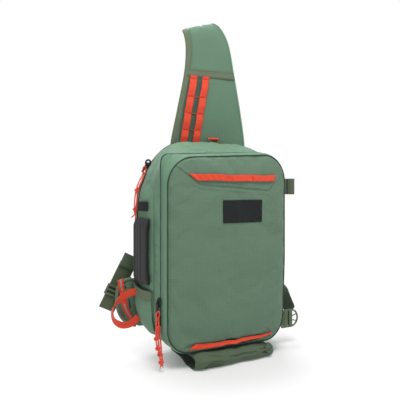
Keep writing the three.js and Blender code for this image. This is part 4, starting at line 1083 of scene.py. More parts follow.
def add_panel_strips():
    left, right = STRIP_ENDS
    ends = np.array([0, *[(x - left) / (right - left) for x in TOP_TACKS], 1])

    def top_lift(share, down):
        row = np.clip(np.searchsorted(ends, share, side="right") - 1, 0, 2)
        inside = (share - ends[row]) / (ends[row + 1] - ends[row])
        arch = np.sin(np.clip(inside, 0, 1) * math.pi) ** 0.5
        return 2.0 * arch + 0.4 * arch * np.sin(share * 83 + down * 1.4)

    def low_lift(share, down):
        arch = np.sin(share * math.pi)
        wave = 1.6 + 1.6 * np.sin(share * math.pi * 5 + 0.6) ** 2
        return wave * arch**0.4 + 3.4 * down * arch**2

    def top_width(share):
        return 14.2 - 0.9 * np.sin(share * math.pi * 3) ** 2

    def top_sag(share):
        return 1.3 * np.sin(share * math.pi) + 0.6 * np.sin(share * 17)

    def low_width(share):
        return np.interp(share, [0, 0.18, 0.45, 0.8, 1], [11.5, 9.6, 6.8, 6.2, 4.5])

    def low_sag(share):
        return np.interp(share, *zip(*LOW_SAGS))

    strip_on_panel("panel_strip_top", "panel_daisy_top", (left - 1.5, 407), (right - 1.5, 405.7),
                   top_width, 1.2, top_lift, top_sag)
    strip_on_panel("panel_strip_bottom", "panel_daisy_bottom", (-83, 53.8), (107, 53.2),
                   low_width, -1.3, low_lift, low_sag)
    # Dark sheets by the lower strip's loops: painted shade in the gaps behind them
    for i, (x, half, high) in enumerate(((2.2, 15, 3.4), (65.8, 12, 3.2))):
        share, up = np.meshgrid(np.linspace(-1, 1, 30), np.linspace(0, 1, 5), indexing="ij")
        z = 49.5 + up * (1.5 + high * np.sqrt(1 - share**2 * 0.98))
        stand_for(panel_sheet(f"strip_gap_shade_{i + 1}", x + half * share, z, 0.9, 0.7, SEAM_AND_SHADE_DARK), "zip_coil")
    # A dark pleated sheet below the lower strip: painted shade of the gathered cloth there
    share, down = np.meshgrid(np.linspace(0, 1, 90), np.linspace(0, 1, 9), indexing="ij")
    drop = 8.0 * np.sin(share * math.pi) ** 0.7 * (1 + 0.16 * np.sin(share * 57))
    pleats = 1.2 + 1.1 * np.sin(share * 46 + down * 2.2) * np.sin(down * math.pi)
    gather = panel_sheet("panel_gathers_shade", -36 + 112 * share, 44.6 - drop * down, pleats, 1.6, SEAM_AND_SHADE_DARK)
    stand_for(gather, "zip_coil")
    heap = Heap()
    for x in TOP_TACKS:
        for aside in (-1.1, -0.4, 0.4, 1.1):
            z = np.linspace(404, 391, 24)
            stitch_line(heap, panel_point(np.full(24, x + aside), z, 2.5), (0, -1, 0), 1.6, 1.4, 0.42)
    for x, slant in ((left + 6, -0.9), (right - 3, 0.3)):
        z = np.linspace(402.5, 392, 20)
        stitch_line(heap, panel_point(x + (402.5 - z) * -slant, z, 2.4), (0, -1, 0), 2.0, 1.6, 0.4)
    stand_for(heap.piece("strip_stitches", THREAD_ORANGE), "orange_webbing")


def add_patches():
    across, down = np.linspace(LABEL_LEFT, LABEL_RIGHT, 60), np.linspace(LABEL_TOP, LABEL_LOW, 32)
    x, z = np.meshgrid(across, down, indexing="ij")
    stand_for(panel_sheet("front_patch", x, z, 1.5, 1.2, PATCH), "black_patch", "label_patch")
    heap = Heap()
    left, top, right, low = LABEL_LEFT + 2.2, LABEL_TOP - 2.2, LABEL_RIGHT - 2.2, LABEL_LOW + 2.2
    ring = [(left, top), (right, top), (right, low), (left, low)]
    for a, b in zip(ring, ring[1:] + ring[:1]):
        dense = mix(np.array(a), np.array(b), np.linspace(0, 1, 40)[:, None])
        stitch_line(heap, panel_point(dense[:, 0], dense[:, 1], 1.6), (0, -1, 0), 2.6, 1.9, 0.3)
    stand_for(heap.piece("patch_stitches", THREAD_BLACK), "black_patch")


def on_left(depth, z, lift=0.0):
    """Points on the body's left side at depths and heights"""
    depth, z = np.broadcast_arrays(np.asarray(depth, float), np.asarray(z, float))
    x = np.array([side_x(d, h) for d, h in zip(depth.ravel(), z.ravel())]).reshape(depth.shape)
    return np.stack([x - lift, FRONT_Y + depth, z], axis=-1)


add_gusset()
add_body()
add_zip("front_zip", FRONT_ZIP_DEPTH, 0.17, 0.86)
add_zip("main_zip", MAIN_ZIP_DEPTH, 0.24, 0.8)
add_front_panel()
add_panel_seam()
add_panel_strips()
add_patches()


# The shoulder strap
STRAP_THICK = 8
STRAP_HEIGHT = 378
STRAP_WIDTH = 203
STRAP_BASE_Z = 405
STRAP_BASE_DEPTH = BODY_DEPTH + BACK_PAD + 2 * GAP + STRAP_THICK / 2
# Columns: left, right, low, high, back
STRAP_ROWS = np.array([
    (-0.37, 0.6, 0, 0, 0), (-0.372, 0.62, 0.19, 0.19, 0.004), (-0.3, 0.55, 0.41, 0.41, -0.035),
    (-0.21, 0.455, 0.655, 0.665, -0.045), (-0.19, 0.38, 0.81, 0.86, -0.04),
    (-0.205, 0.285, 0.895, 0.965, -0.01), (-0.205, 0.21, 0.925, 1.0, 0.075),
    (-0.13, 0.215, 0.905, 0.972, 0.17), (-0.075, 0.27, 0.78, 0.79, 0.24),
    (-0.06, 0.3, 0.5, 0.51, 0.3), (0.06, 0.37, 0.2, 0.225, 0.33), (0.2, 0.44, -0.06, -0.03, 0.33)])
STRAP_SAMPLES = 900
# How square the padded section is, and where along the front leg its padding starts to puff
STRAP_SQUARE = 0.55
STRAP_PUFF_FROM = 0.28
# The strap's outer face creases near the top of its fold and dips under the cross tape
FOLD_ACROSS = 0.223
GROOVE_AT = 0.272


def strap_edge(side, height):
    rows = [(row[side] * STRAP_WIDTH, FRONT_Y + STRAP_BASE_DEPTH + row[4] * BODY_DEPTH,
             STRAP_BASE_Z + row[height] * STRAP_HEIGHT) for row in STRAP_ROWS]
    return catmull(rows, STRAP_SAMPLES)


STRAP_LEFT = strap_edge(0, 2)
STRAP_RIGHT = strap_edge(1, 3)
STRAP_AHEAD = np.gradient(STRAP_LEFT, axis=0) + np.gradient(STRAP_RIGHT, axis=0)
STRAP_OUT = unit(np.cross(STRAP_RIGHT - STRAP_LEFT, STRAP_AHEAD))


def strap_at(along, across, lift=0.0):
    """Points on the strap: along 0 to 1, across -1 to 1, lift out of its middle"""
    along, across, lift = np.broadcast_arrays(*(np.asarray(v, float) for v in (along, across, lift)))
    where = along * (STRAP_SAMPLES - 1)
    def pick(table):
        return np.stack([np.interp(where, np.arange(STRAP_SAMPLES), table[:, i]) for i in range(3)], axis=-1)
    left, right, out = pick(STRAP_LEFT), pick(STRAP_RIGHT), pick(STRAP_OUT)
    return left + (right - left) * ((across + 1) / 2)[..., None] + out * lift[..., None]


# Share of the strap's length where the crease is deepest
FOLD_AT = float(np.argmax(STRAP_LEFT[:, 2] + STRAP_RIGHT[:, 2])) / (STRAP_SAMPLES - 1) - 0.026


def add_strap():
    """The padded strap: an outer face of cloth, an inner face of mesh, one closed skin"""
    along = np.linspace(0, 1, 190)
    section_points = 96
    turn = np.linspace(0, 2 * math.pi, section_points, endpoint=False)
    across = -np.cos(turn)
    across = np.sign(across) * np.abs(across) ** STRAP_SQUARE
    height = np.sin(turn)
    height = np.sign(height) * np.abs(height) ** STRAP_SQUARE
    rings = []
    for a in along:
        outer = height > 0
        puff = 1 + 0.28 * np.cos(across * math.pi / 2) * (a > STRAP_PUFF_FROM)
        lift = height * STRAP_THICK / 2 * puff
        groove = -1.4 * np.exp(-(((a - GROOVE_AT) / 0.006) ** 2)) * outer
        fold = -5.5 * np.exp(-(((across - FOLD_ACROSS) / 0.05) ** 2)) * bump(a, FOLD_AT, 0.03) * outer
        rings.append(strap_at(np.full(section_points, a), across, lift + groove + fold))
    rings = np.array(rings)
    for i, j in np.ndindex(rings.shape[:2]):
        rings[i, j] += wrinkle_at(rings[i, j], 0.02, 1.6) * min(1, abs(1 - abs(across[j])) * 3)
    piece = sweep_piece("strap_pad", rings, STRAP_CLOTH)
    stand_for(piece, "strap_cloth", "shoulder_strap")


# Strips and tapes on the strap
STRAP_TACKS = (0.1, 0.136, 0.178, 0.216, 0.255)
CROSS_TAPE = (0.262, 0.282)
DAISY_WIDTH = 18
STRAP_DAISIES = {"strap_daisy_left": (13.5, 20), "strap_daisy_right": (45.5, 52)}


def strap_surface(along, across):
    """Lift of the strap's outer face above its middle"""
    across = np.clip(np.abs(np.asarray(across, float)), 0, 1)
    turn = np.arccos(across ** (1 / STRAP_SQUARE))
    puff = 1 + 0.28 * np.cos(across * math.pi / 2) * (np.asarray(along, float) > STRAP_PUFF_FROM)
    return np.sin(turn) ** STRAP_SQUARE * STRAP_THICK / 2 * puff


def strap_width(along):
    wide = strap_at(along, 1) - strap_at(along, -1)
    return np.linalg.norm(wide, axis=-1)


def strap_place(along, inset, lift=0.0):
    """Points on the strap's outer face, inset in millimetres from its left edge"""
    along, inset = np.broadcast_arrays(np.asarray(along, float), np.asarray(inset, float))
    across = 2 * inset / strap_width(along) - 1
    return strap_at(along, across, strap_surface(along, across) + lift)


def strap_sheet(name, node, slot, material, alongs, insets, lift, thick=WEB_THICK):
    """A strip on the strap's outer face. Insets gives its two edges at each place along."""
    count = 9
    columns = [strap_place(alongs, mix(insets[0], insets[1], t), lift) for t in np.linspace(0, 1, count)]
    grid = np.stack(columns, axis=1)
    piece = shell_piece(name, grid, thick, material)
    return stand_for(piece, slot, *node)


def add_strap_daisies():
    alongs = np.linspace(STRAP_TACKS[0], CROSS_TAPE[0] + 0.002, 120)
    nearest = np.min([np.abs(alongs - tack) for tack in STRAP_TACKS], axis=0)
    puff = 2.4 * np.clip(nearest / 0.017, 0, 1) ** 0.8
    share = (alongs - alongs[0]) / (alongs[-1] - alongs[0])
    strap_sheet("strap_web_base", (), "dark_webbing", DARK_GREEN_WEB, alongs,
                (mix(16, 9.5, share), mix(72, 65.5, share)), 1.0, 1.2)
    orange = Heap()
    for name, (high, low) in STRAP_DAISIES.items():
        start = mix(low, high, share)
        wave = 0.35 * np.sin(share * 9)
        strap_sheet(name + "_web", (name,), "orange_webbing", ORANGE, alongs,
                    (start + wave, start + DAISY_WIDTH + wave), 2.8 + puff)
        for tack in STRAP_TACKS[1:]:
            at = tack if tack < 0.25 else tack + 0.003
            row = np.interp(at, alongs, start)
            across = np.linspace(row + 0.8, row + DAISY_WIDTH - 0.8, 12)
            for step in (-0.0012, 0.0, 0.0012):
                line = strap_place(np.full(12, at + step), across, 3.2)
                stitch_line(orange, line, STRAP_OUT[int(at * STRAP_SAMPLES)], 1.7, 1.5, 0.4)
    for tack in STRAP_TACKS[1:-1]:
        share_at = (tack - alongs[0]) / (alongs[-1] - alongs[0])
        a = mix(*STRAP_DAISIES["strap_daisy_left"], 1 - share_at) + DAISY_WIDTH
        b = mix(*STRAP_DAISIES["strap_daisy_right"], 1 - share_at)
        line = strap_place(np.full(8, tack - 0.001), np.linspace(a - 1, b + 1, 8), 2.0)
        orange.add(tube_rings(line, 0.7, 6))
    stand_for(orange.piece("strap_bartacks", THREAD_ORANGE), "orange_webbing")


def edge_tape(name, node, side, alongs, width, material):
    """Binding folded round one edge of the strap"""
    rings = []
    for a in alongs:
        wide = float(strap_width(a))
        reach = 2 * width / wide
        turn = np.linspace(0, 1, 9)
        outer = [(side * (1 - reach * (1 - t)), 1) for t in turn]
        edge = [(side * (1 + 0.012), 0.45), (side * (1 + 0.018), 0), (side * (1 + 0.012), -0.45)]
        inner = [(side * (1 - reach * t), -1) for t in turn]
        ring = []
        for across, face in outer + edge + inner:
            if abs(face) == 1:
                lift = face * (float(strap_surface(a, min(abs(across), 1))) + 1.1)
            else:
                lift = face * STRAP_THICK / 2
            ring.append(strap_at(a, across, lift))
        for across, face in reversed(outer + edge + inner):
            if abs(face) == 1:
                lift = face * (float(strap_surface(a, min(abs(across), 1))) + 0.1)
                ring.append(strap_at(a, across, lift))
        rings.append(ring)
    return stand_for(sweep_piece(name, rings, material), "olive_tape", node)


def add_strap_tapes():
    alongs = np.linspace(0.03, 0.96, 150)
    edge_tape("strap_tape_left", "strap_binding_left", -1, alongs, 12, OLIVE_TAPE)
    edge_tape("strap_tape_right", "strap_binding_right", 1, alongs, 3.5, STRAP_EDGE)
    count = 40
    across = np.linspace(-0.93, 0.985, count)
    rows = []
    for a in np.linspace(*CROSS_TAPE, 9):
        rows.append(strap_at(np.full(count, a), across, strap_surface(a, across) + 1.4))
    piece = shell_piece("strap_cross_tape", np.stack(rows, axis=0), 1.4, OLIVE_TAPE)
    stand_for(piece, "olive_tape", "strap_cross_binding")
    heap = Heap()
    for a in (CROSS_TAPE[0] + 0.003, CROSS_TAPE[1] - 0.003):
        line = strap_at(np.full(count, a), across, strap_surface(a, across) + 1.5)
        stitch_line(heap, line, STRAP_OUT[int(a * STRAP_SAMPLES)])
    for start, end, inset in ((0.03, 0.5, 10.3), (0.3, 0.5, 14.5)):
        run = np.linspace(start, end, 200)
        line = strap_place(run, np.full(200, inset), 1.2)
        stitch_line(heap, line, STRAP_OUT[(run * (STRAP_SAMPLES - 1)).astype(int)])
    stand_for(heap.piece("strap_stitches", THREAD_GREEN), "olive_tape")


# The D ring and its tab
RING_X = 32
RING_Z = 496
RING_WIRE = 4
RING_WIDTH = 37
RING_REACH = 26
RING_DROOP = 0.55


def pivot_y():
    return frame["joints"][0]["pos_m"][1] / MM


def add_ring():
    half = (RING_WIDTH - RING_WIRE) / 2
    reach = RING_REACH - RING_WIRE / 2
    corner = 0.3 * half
    turns = np.linspace(0, math.pi, 60)
    bend = [(half * math.cos(t), -corner - (reach - corner) * math.sin(t) ** 0.9) for t in turns]
    arc = np.linspace(0, math.pi / 2, 9)
    right = [(half - corner + corner * math.sin(t), -corner + corner * math.cos(t)) for t in arc]
    left = [(-half + corner - corner * math.cos(t), -corner + corner * math.sin(t)) for t in arc]
    bar = [(x, 0.0) for x in np.linspace(-half + corner, half - corner, 12)]
    path = left[:-1] + bar[:-1] + right + bend[1:-1]
    drop = math.sin(-RING_DROOP)
    ahead = math.cos(-RING_DROOP)
    y0 = pivot_y()
    points = [(RING_X + x, y0 + out * ahead, RING_Z - out * drop) for x, out in path]
    ring = tube_piece("ring_wire", points, RING_WIRE / 2, OLIVE_PLASTIC, 14, RING, True)
    stand_for(ring, "olive_plastic", "d_ring")


def add_ring_tab():
    width = 27
    thick = 0.9
    hole = RING_WIRE / 2 + GAP
    middle = hole + thick / 2
    y0 = pivot_y()
    turns = np.linspace(-1.5 * math.pi, 0, 26)
    path = [(middle * math.cos(t), middle * math.sin(t)) for t in turns]
    path = [(middle, 3.6), (middle, 2.2)] + path[::-1]
    centre = np.array([(RING_X, y0 + a, RING_Z + b) for a, b in path])
    wide = np.tile([1.0, 0, 0], (len(centre), 1))
    ahead = np.gradient(centre, axis=0)
    out = np.cross(wide, ahead)
    tab = ribbon_piece("ring_tab_web", centre, wide, out, width, thick, ORANGE)
    stand_for(tab, "orange_webbing", "ring_tab")


# The left side: handle, label, pocket, wing, loop and hanging webbing
HANDLE_MID_Z = BODY_BOTTOM + 0.455 * BODY_HEIGHT
HANDLE_LENGTH = 147
HANDLE_WIDTH = 52
HANDLE_RISE = 17
HANDLE_DEPTH = 76


def add_handle():
    """The moulded grip: an arch on two feet with a framed, ribbed face"""
    half = HANDLE_LENGTH / 2 - 3.7
    middle = HANDLE_MID_Z + 3.7
    wide = HANDLE_WIDTH / 2 - 1.5
    round_size = 4.5
    across = np.concatenate([-1 + 0.16 * np.linspace(0, 1, 9) ** 1.6, np.linspace(-0.82, 0.82, 83),
                             1 - 0.16 * np.linspace(1, 0, 9) ** 1.6])
    flat = across * wide
    to_edge = (1 - np.abs(across)) * wide
    drop = round_size * (1 - np.sqrt(1 - (1 - np.clip(to_edge / round_size, 0, 1)) ** 2))
    field = smooth(8.0, 9.2, to_edge)
    ribs = smooth(4.2, 3.2, np.abs(flat - 5.6)) + smooth(4.2, 3.2, np.abs(flat + 5.6))
    end = half - 20 * np.linspace(1, 0, 34) ** 1.3
    lengthwise = np.concatenate([-end[::-1], np.linspace(-half + 20.5, half - 20.5, 40), end])
    wall_x = side_x(HANDLE_DEPTH, middle)
    rings = []
    for z in lengthwise:
        to_end = half - abs(z)
        slope = 5.0 * (1 - float(smooth(0, 16, to_end)))
        rounding = round_size * (1 - math.sqrt(1 - (1 - min(1.0, to_end / round_size)) ** 2))
        narrow = 1 - 0.05 * (1 - min(1.0, to_end / 6)) ** 2
        inside = float(smooth(12.5, 14, to_end))
        over = HANDLE_RISE - 2.2 - np.maximum(drop, rounding) - slope
        over = over - 2.4 * field * inside * (1 - ribs)
        foot = 1 - float(smooth(14, 30, to_end))
        under = np.full(len(flat), mix(2.5, -0.5, foot))
        lift = np.concatenate([over, under[::-1]])
        depth = HANDLE_DEPTH + np.concatenate([flat, flat[::-1] * 0.94]) * narrow
        ring = on_left(depth, np.full(len(depth), middle + z))
        ring[:, 0] = mix(ring[:, 0], wall_x, 0.5) - lift
        rings.append(ring)
    stand_for(sweep_piece("handle_grip", rings, RUBBER), "handle_rubber", "side_handle")


def add_side_label():
    low = HANDLE_MID_Z + HANDLE_LENGTH / 2 + 0.035 * BODY_HEIGHT
    depths = np.linspace(HANDLE_DEPTH - 15, HANDLE_DEPTH + 24, 24)
    zs = np.linspace(low, low + 20, 10)
    grid = np.stack([on_left(np.full(len(zs), d), zs, 2.2) for d in depths], axis=0)
    stand_for(shell_piece("side_patch", grid[::-1], 1.2, PATCH), "black_patch", "side_label")


POCKET_FRONT = 0.4 * BODY_DEPTH
POCKET_BACK = 0.9 * BODY_DEPTH
POCKET_LOW_Z = BODY_BOTTOM + 0.07 * BODY_HEIGHT
POCKET_MOUTH_Z = BODY_BOTTOM + 0.282 * BODY_HEIGHT
POCKET_TILT = 0.016 * BODY_HEIGHT
HEM_HEIGHT = 18


def pocket_place(depth, share, lift):
    """Points of the side pocket: share from its foot to its mouth"""
    across = (depth - POCKET_FRONT) / (POCKET_BACK - POCKET_FRONT)
    z = mix(POCKET_LOW_Z, POCKET_MOUTH_Z - POCKET_TILT * 0.6 + POCKET_TILT * 1.6 * across, share)
    full = 2.0 + 4.6 * np.sin(math.pi * np.clip(across, 0, 1)) ** 0.8 * np.sqrt(np.clip(share, 0, 1))
    return on_left(depth, z, full + lift)


def add_side_pocket():
    depths = np.linspace(POCKET_FRONT, POCKET_BACK, 40)
    shares = np.linspace(0, 1, 60)
    grid = np.stack([pocket_place(np.full(len(shares), d), shares, 0.0) for d in depths], axis=0)
    for i, j in np.ndindex(grid.shape[:2]):
        grid[i, j] += wrinkle_at(grid[i, j], 0.03, 1.2)
    piece = shell_piece("side_pocket_cloth", grid[::-1], 1.6, LIGHT)
    stand_for(piece, "sage_cloth", "side_pocket")
    hem_low = 1 - HEM_HEIGHT / (POCKET_MOUTH_Z - POCKET_LOW_Z)
    shares = np.linspace(hem_low, 1.015, 14)
    grid = np.stack([pocket_place(np.full(len(shares), d), shares, 1.6) for d in depths], axis=0)
    hem = shell_piece("side_pocket_tape", grid[::-1], 2.2, OLIVE_TAPE)
    stand_for(hem, "olive_tape", "side_pocket_hem")
    # A dark sheet in the pocket's mouth: painted shade inside the pocket
    mouth = [pocket_place(depths, np.full(len(depths), 1.012), lift) for lift in (-3.4, -1.5, 0.4, 2.0)]
    shade = shell_piece("side_pocket_mouth_shade", np.stack(mouth, axis=1), 1.0, SEAM_AND_SHADE_DARK)
    stand_for(shade, "zip_coil")
    heap = Heap()
    for share in (hem_low + 0.02, 0.975):
        line = pocket_place(depths, np.full(len(depths), share), 1.9)
        stitch_line(heap, line, (-1, 0, 0))
    stand_for(heap.piece("pocket_stitches", THREAD_GREEN), "olive_tape")


WING_THICK = 9
WING_DEPTH = 0.96 * BODY_DEPTH
WING_REACH = 46
WING_LOW_Z = BODY_BOTTOM + 0.09 * BODY_HEIGHT
WING_HEIGHT = 104
WING_EDGE = (
    (0.02, 1.0), (0.3, 0.99), (0.62, 0.955), (0.87, 0.85), (0.97, 0.69), (0.97, 0.48),
    (0.88, 0.28), (0.7, 0.1), (0.46, -0.02), (0.2, -0.07), (0.02, -0.08))
WING_SIDE_X = side_x(WING_DEPTH, WING_LOW_Z + WING_HEIGHT)


def wing_edge(out, up):
    z = WING_LOW_Z + up * WING_HEIGHT
    inner = side_x(WING_DEPTH, z) - GAP - 1
    return np.array([mix(inner, WING_SIDE_X - WING_REACH, out), FRONT_Y + WING_DEPTH, z])


def wing_outline(count):
    return catmull([wing_edge(out, up) for out, up in WING_EDGE], count)


def add_wing():
    """The padded wing: two bulging faces that meet at its edge"""
    count = 90
    edge = wing_outline(count)
    root = np.linspace(edge[0], edge[-1], count)
    shares = np.linspace(0, 1, 26)
    faces = []
    for way in (-1, 1):
        rows = []
        for share in shares:
            line = mix(root, edge, share)
            near = np.minimum(1, 2.2 * (1 - share)) ** 0.5
            from_end = np.minimum(np.arange(count), count - 1 - np.arange(count))
            ends = np.clip(from_end / 10, 0, 1) ** 0.5
            line[:, 1] += way * (WING_THICK / 2 - 0.4) * np.minimum(near, 1) * (0.45 + 0.55 * ends)
            rows.append(line)
        faces.append(np.stack(rows, axis=0))
    loop = np.concatenate([faces[0], faces[1][::-1]], axis=0)
    for i, j in np.ndindex(loop.shape[:2]):
        loop[i, j] += wrinkle_at(loop[i, j], 0.035, 1.4) * np.array([0.4, 1, 0.4])
    piece = sweep_piece("wing_pad", np.swapaxes(loop, 0, 1), SAGE)
    sewn_x = side_x(WING_DEPTH, WING_LOW_Z + 50) - 6
    pad_out(piece, lambda at: (at[:, 0] > sewn_x).astype(float), 4.0, 3.0, 4.0, 0.01)
    stand_for(piece, "sage_cloth", "wing_pocket")
    bound = edge[6:76]
    away = np.cross(unit(np.gradient(bound, axis=0)), [0, 1, 0])
    middle = bound.mean(axis=0)
    if np.dot(away[30], bound[30] - middle) < 0:
        away = -away
    rings = []
    for at, out in zip(bound, away):
        half = WING_THICK / 2 + 0.6
        shape = [(-5.5, -half + 0.9), (-1, -half), (1.4, -half * 0.55), (2.0, 0)]
        shape += [(1.4, half * 0.55), (-1, half), (-5.5, half - 0.9), (-5.0, half - 2.2)]
        shape += [(0.2, half * 0.4), (0.5, 0), (0.2, -half * 0.4), (-5.0, -half + 2.2)]
        rings.append([at + out * a + np.array([0, b, 0]) for a, b in shape])
    tape = sweep_piece("wing_tape", rings, OLIVE_TAPE)
    stand_for(tape, "olive_tape", "wing_binding")


def wing_front(out, up, lift):
    at = wing_edge(out, up)
    at[1] -= WING_THICK / 2 + lift
    return at


WING_SAMPLES = 44


def wing_line(places, lift):
    return catmull([wing_front(out, up, lift) for out, up in places], WING_SAMPLES)


def add_wing_strip():
    """The orange strip with its grey reflective line, and the slit of the pocket beside it, its opening a
    black lens of painted shade
    """
    share = np.linspace(0, 1, WING_SAMPLES)
    places = ((0.80, 0.99), (0.74, 0.80), (0.64, 0.58), (0.56, 0.36), (0.38, 0.12))
    arch = np.sin(share * math.pi) ** 0.5
    centre = wing_line(places, 1.0) - np.array([0, 1, 0]) * (1.6 * arch)[:, None]
    wide = np.tile([1.0, 0, 0.3], (WING_SAMPLES, 1))
    out = np.cross(np.gradient(centre, axis=0), wide)
    width = np.interp(share, [0, 0.2, 0.8, 1], [13.5, 12.5, 12.0, 7.5])
    strip = ribbon_piece("wing_strip_web", centre, wide, out, width, WEB_THICK, ORANGE)
    stand_for(strip, "orange_webbing", "wing_strip")
    for name, part in (("wing_shine_top", slice(0, 17)), ("wing_shine_low", slice(27, 43))):
        line = centre[part] - np.array([0, WEB_THICK / 2 + 0.3, 0])
        narrow = np.interp(np.linspace(0, 1, len(line)), [0, 0.5, 1], [4.6, 3.8, 1.2])
        piece = ribbon_piece(name, line, wide[part], out[part], narrow, 0.6, SHINE)
        stand_for(piece, "light_cloth")
    # A black lens along the slit: painted shade in the pocket's opening
    slit = wing_line(((0.56, 0.86), (0.44, 0.62), (0.38, 0.4), (0.34, 0.2)), 0.7)
    lens = 7.0 * np.sin(share * math.pi) ** 0.8 + 0.8
    stand_for(ribbon_piece("wing_slit", slit, wide, out, lens, 1.0, SHADE_BLACK_WEB), "dark_webbing")
    inner = slit[9:36] + np.array([-1.0, -0.7, 0.5])
    lens = 3.4 * np.sin(np.linspace(0, 1, 27) * math.pi) ** 0.7 + 0.4
    piece = ribbon_piece("wing_slit_tape", inner, wide[9:36], out[9:36], lens, 0.8, OLIVE_TAPE)
    stand_for(piece, "olive_tape")


LOOP_WIDTH = 15
LOOP_REACH = 62
LOOP_HEIGHT = 62
LOOP_LOW_Z = BODY_BOTTOM + 0.1264 * BODY_HEIGHT
LOOP_DEPTH = 0.72 * BODY_DEPTH
# Columns: out, up, turn
LOOP_ROWS = (
    (0.0, 1.0, 1.0), (0.3, 0.97, 0.95), (0.62, 0.82, 0.8), (0.9, 0.6, 0.45), (1.0, 0.36, 0.25),
    (0.92, 0.1, 0.5), (0.68, -0.1, 0.8), (0.36, -0.1, 0.9), (0.0, 0.1, 1.0))


def add_orange_loop():
    points = []
    turns = []
    for out, up, turn in LOOP_ROWS:
        z = LOOP_LOW_Z + up * LOOP_HEIGHT
        start = side_x(LOOP_DEPTH, z) - 8.7
        points.append((mix(start, WING_SIDE_X - LOOP_REACH, out), FRONT_Y + LOOP_DEPTH, z))
        turns.append((0, -1 + turn, turn))
    centre, wide, out = turning_web(points, turns, 90)
    piece = ribbon_piece("orange_loop_web", centre, wide, out, LOOP_WIDTH, WEB_THICK, ORANGE)
    stand_for(piece, "orange_webbing", "side_loop_orange")
    heap = Heap()
    for end in (3, -4):
        for step in (0, 1):
            i = end + step
            line = np.stack([centre[i] + wide[i] * t for t in np.linspace(-6.5, 6.5, 8)])
            line += -np.sign(out[i][0]) * out[i] * (WEB_THICK / 2 + 0.1)
            stitch_line(heap, line, (-1, 0, 0), 1.7, 1.4, 0.35)
    stand_for(heap.piece("orange_loop_tacks", THREAD_ORANGE), "orange_webbing")


TAIL_START = (-HALF_WIDTH + 14, BODY_BOTTOM + 0.481 * BODY_HEIGHT)
TAIL_LENGTH = 160
TAIL_SLOPE = np.array([-0.455, 0, -0.8905])
TAIL_TAB_THICK = 3
TAIL_DEPTH = BODY_DEPTH + BACK_PAD + TAIL_TAB_THICK / 2 + GAP
TAIL_SIDE = np.array([0.8905, 0, -0.455])


def tail_point(along, aside=0.0, back=0.0):
    start = np.array([TAIL_START[0], FRONT_Y + TAIL_DEPTH + back, TAIL_START[1]])
    return start + TAIL_SLOPE * along + TAIL_SIDE * aside


def add_tail():
    """The sewn tab, the wide webbing that hangs from it, and a black strip of painted shade between it and
    the wing
    """
    def strip(name, node, start, end, back, thick, material, sag, slot):
        centre = []
        for t in np.linspace(0, 1, 50):
            centre.append(tail_point(mix(start, end, t), 0, back + sag * math.sin(t * math.pi * 1.5)))
        wide = np.tile(TAIL_SIDE, (50, 1))
        out = np.tile([0.0, 1.0, 0.0], (50, 1))
        piece = ribbon_piece(name, centre, wide, out, WIDE_WEB, thick, material)
        return stand_for(piece, slot, node)

    strip("tail_tab_cloth", "tail_tab", 30, 60, 0, TAIL_TAB_THICK, DRAB, 0, "sage_cloth")
    lift = TAIL_TAB_THICK / 2 + WEB_THICK / 2 + GAP
    strip("tail_web", "tail_webbing", 50, TAIL_LENGTH, lift, WEB_THICK, OLIVE_WEB, 0.8, "dark_webbing")
    heap = Heap()
    for along in (53, 57):
        for back, out in ((lift + 1.0, 1), (-TAIL_TAB_THICK / 2 - 0.2, -1)):
            line = [tail_point(along, side, back) for side in np.linspace(-16, 16, 20)]
            stitch_line(heap, line, (0, out, 0))
    stand_for(heap.piece("tail_stitches", THREAD_GREEN), "dark_webbing")
    # A black webbing from the hanging webbing to the wing: painted shade in the gap between them
    share = np.linspace(0, 1, 40)
    start = tail_point(0.63 * TAIL_LENGTH, 2, -5.5)
    end = np.array([WING_SIDE_X - 4, FRONT_Y + WING_DEPTH + 9, WING_LOW_Z + 26])
    middle = mix(start, end, 0.5) + np.array([-2.0, 3.0, -6.0])
    centre = catmull([start, middle, end], 40)
    wide = np.tile([0.35, 0.0, 0.94], (40, 1))
    out = np.cross(np.gradient(centre, axis=0), wide)
    width = np.interp(share, [0, 0.1, 1], [22, 25, 25])
    stand_for(ribbon_piece("wing_gap_shade", centre, wide, out, width, WEB_THICK, SHADE_BLACK_WEB), "dark_webbing")


def bevelled(name, node, width, material, slot):
    """A copy of a hard CAD solid with its edges rounded"""
    data = frame["nodes"][node].data.copy()
    data.materials.clear()
    data.materials.append(material)
    piece = placed(name, data)
    weld = piece.modifiers.new("weld", "WELD")
    weld.merge_threshold = 0.00002
    edge = piece.modifiers.new("edge", "BEVEL")
    edge.width = width * MM
    edge.segments = 3
    edge.limit_method = "ANGLE"
    edge.angle_limit = math.radians(35)
    edge.harden_normals = False
    data.shade_smooth()
    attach(piece, BAG)
    return stand_for(piece, slot, node)


# The right side: strap webbing, its buckle, and the webbing loop
LOCK_LENGTH = 50
LOCK_WIDTH = 44
LOCK_THICK = 4
LOCK_X = HALF_WIDTH + 18
LOCK_DEPTH = 40
LOCK_Z = BODY_BOTTOM + 0.0665 * BODY_HEIGHT


def behind(x, depth, z):
    return (x, FRONT_Y + depth, z)


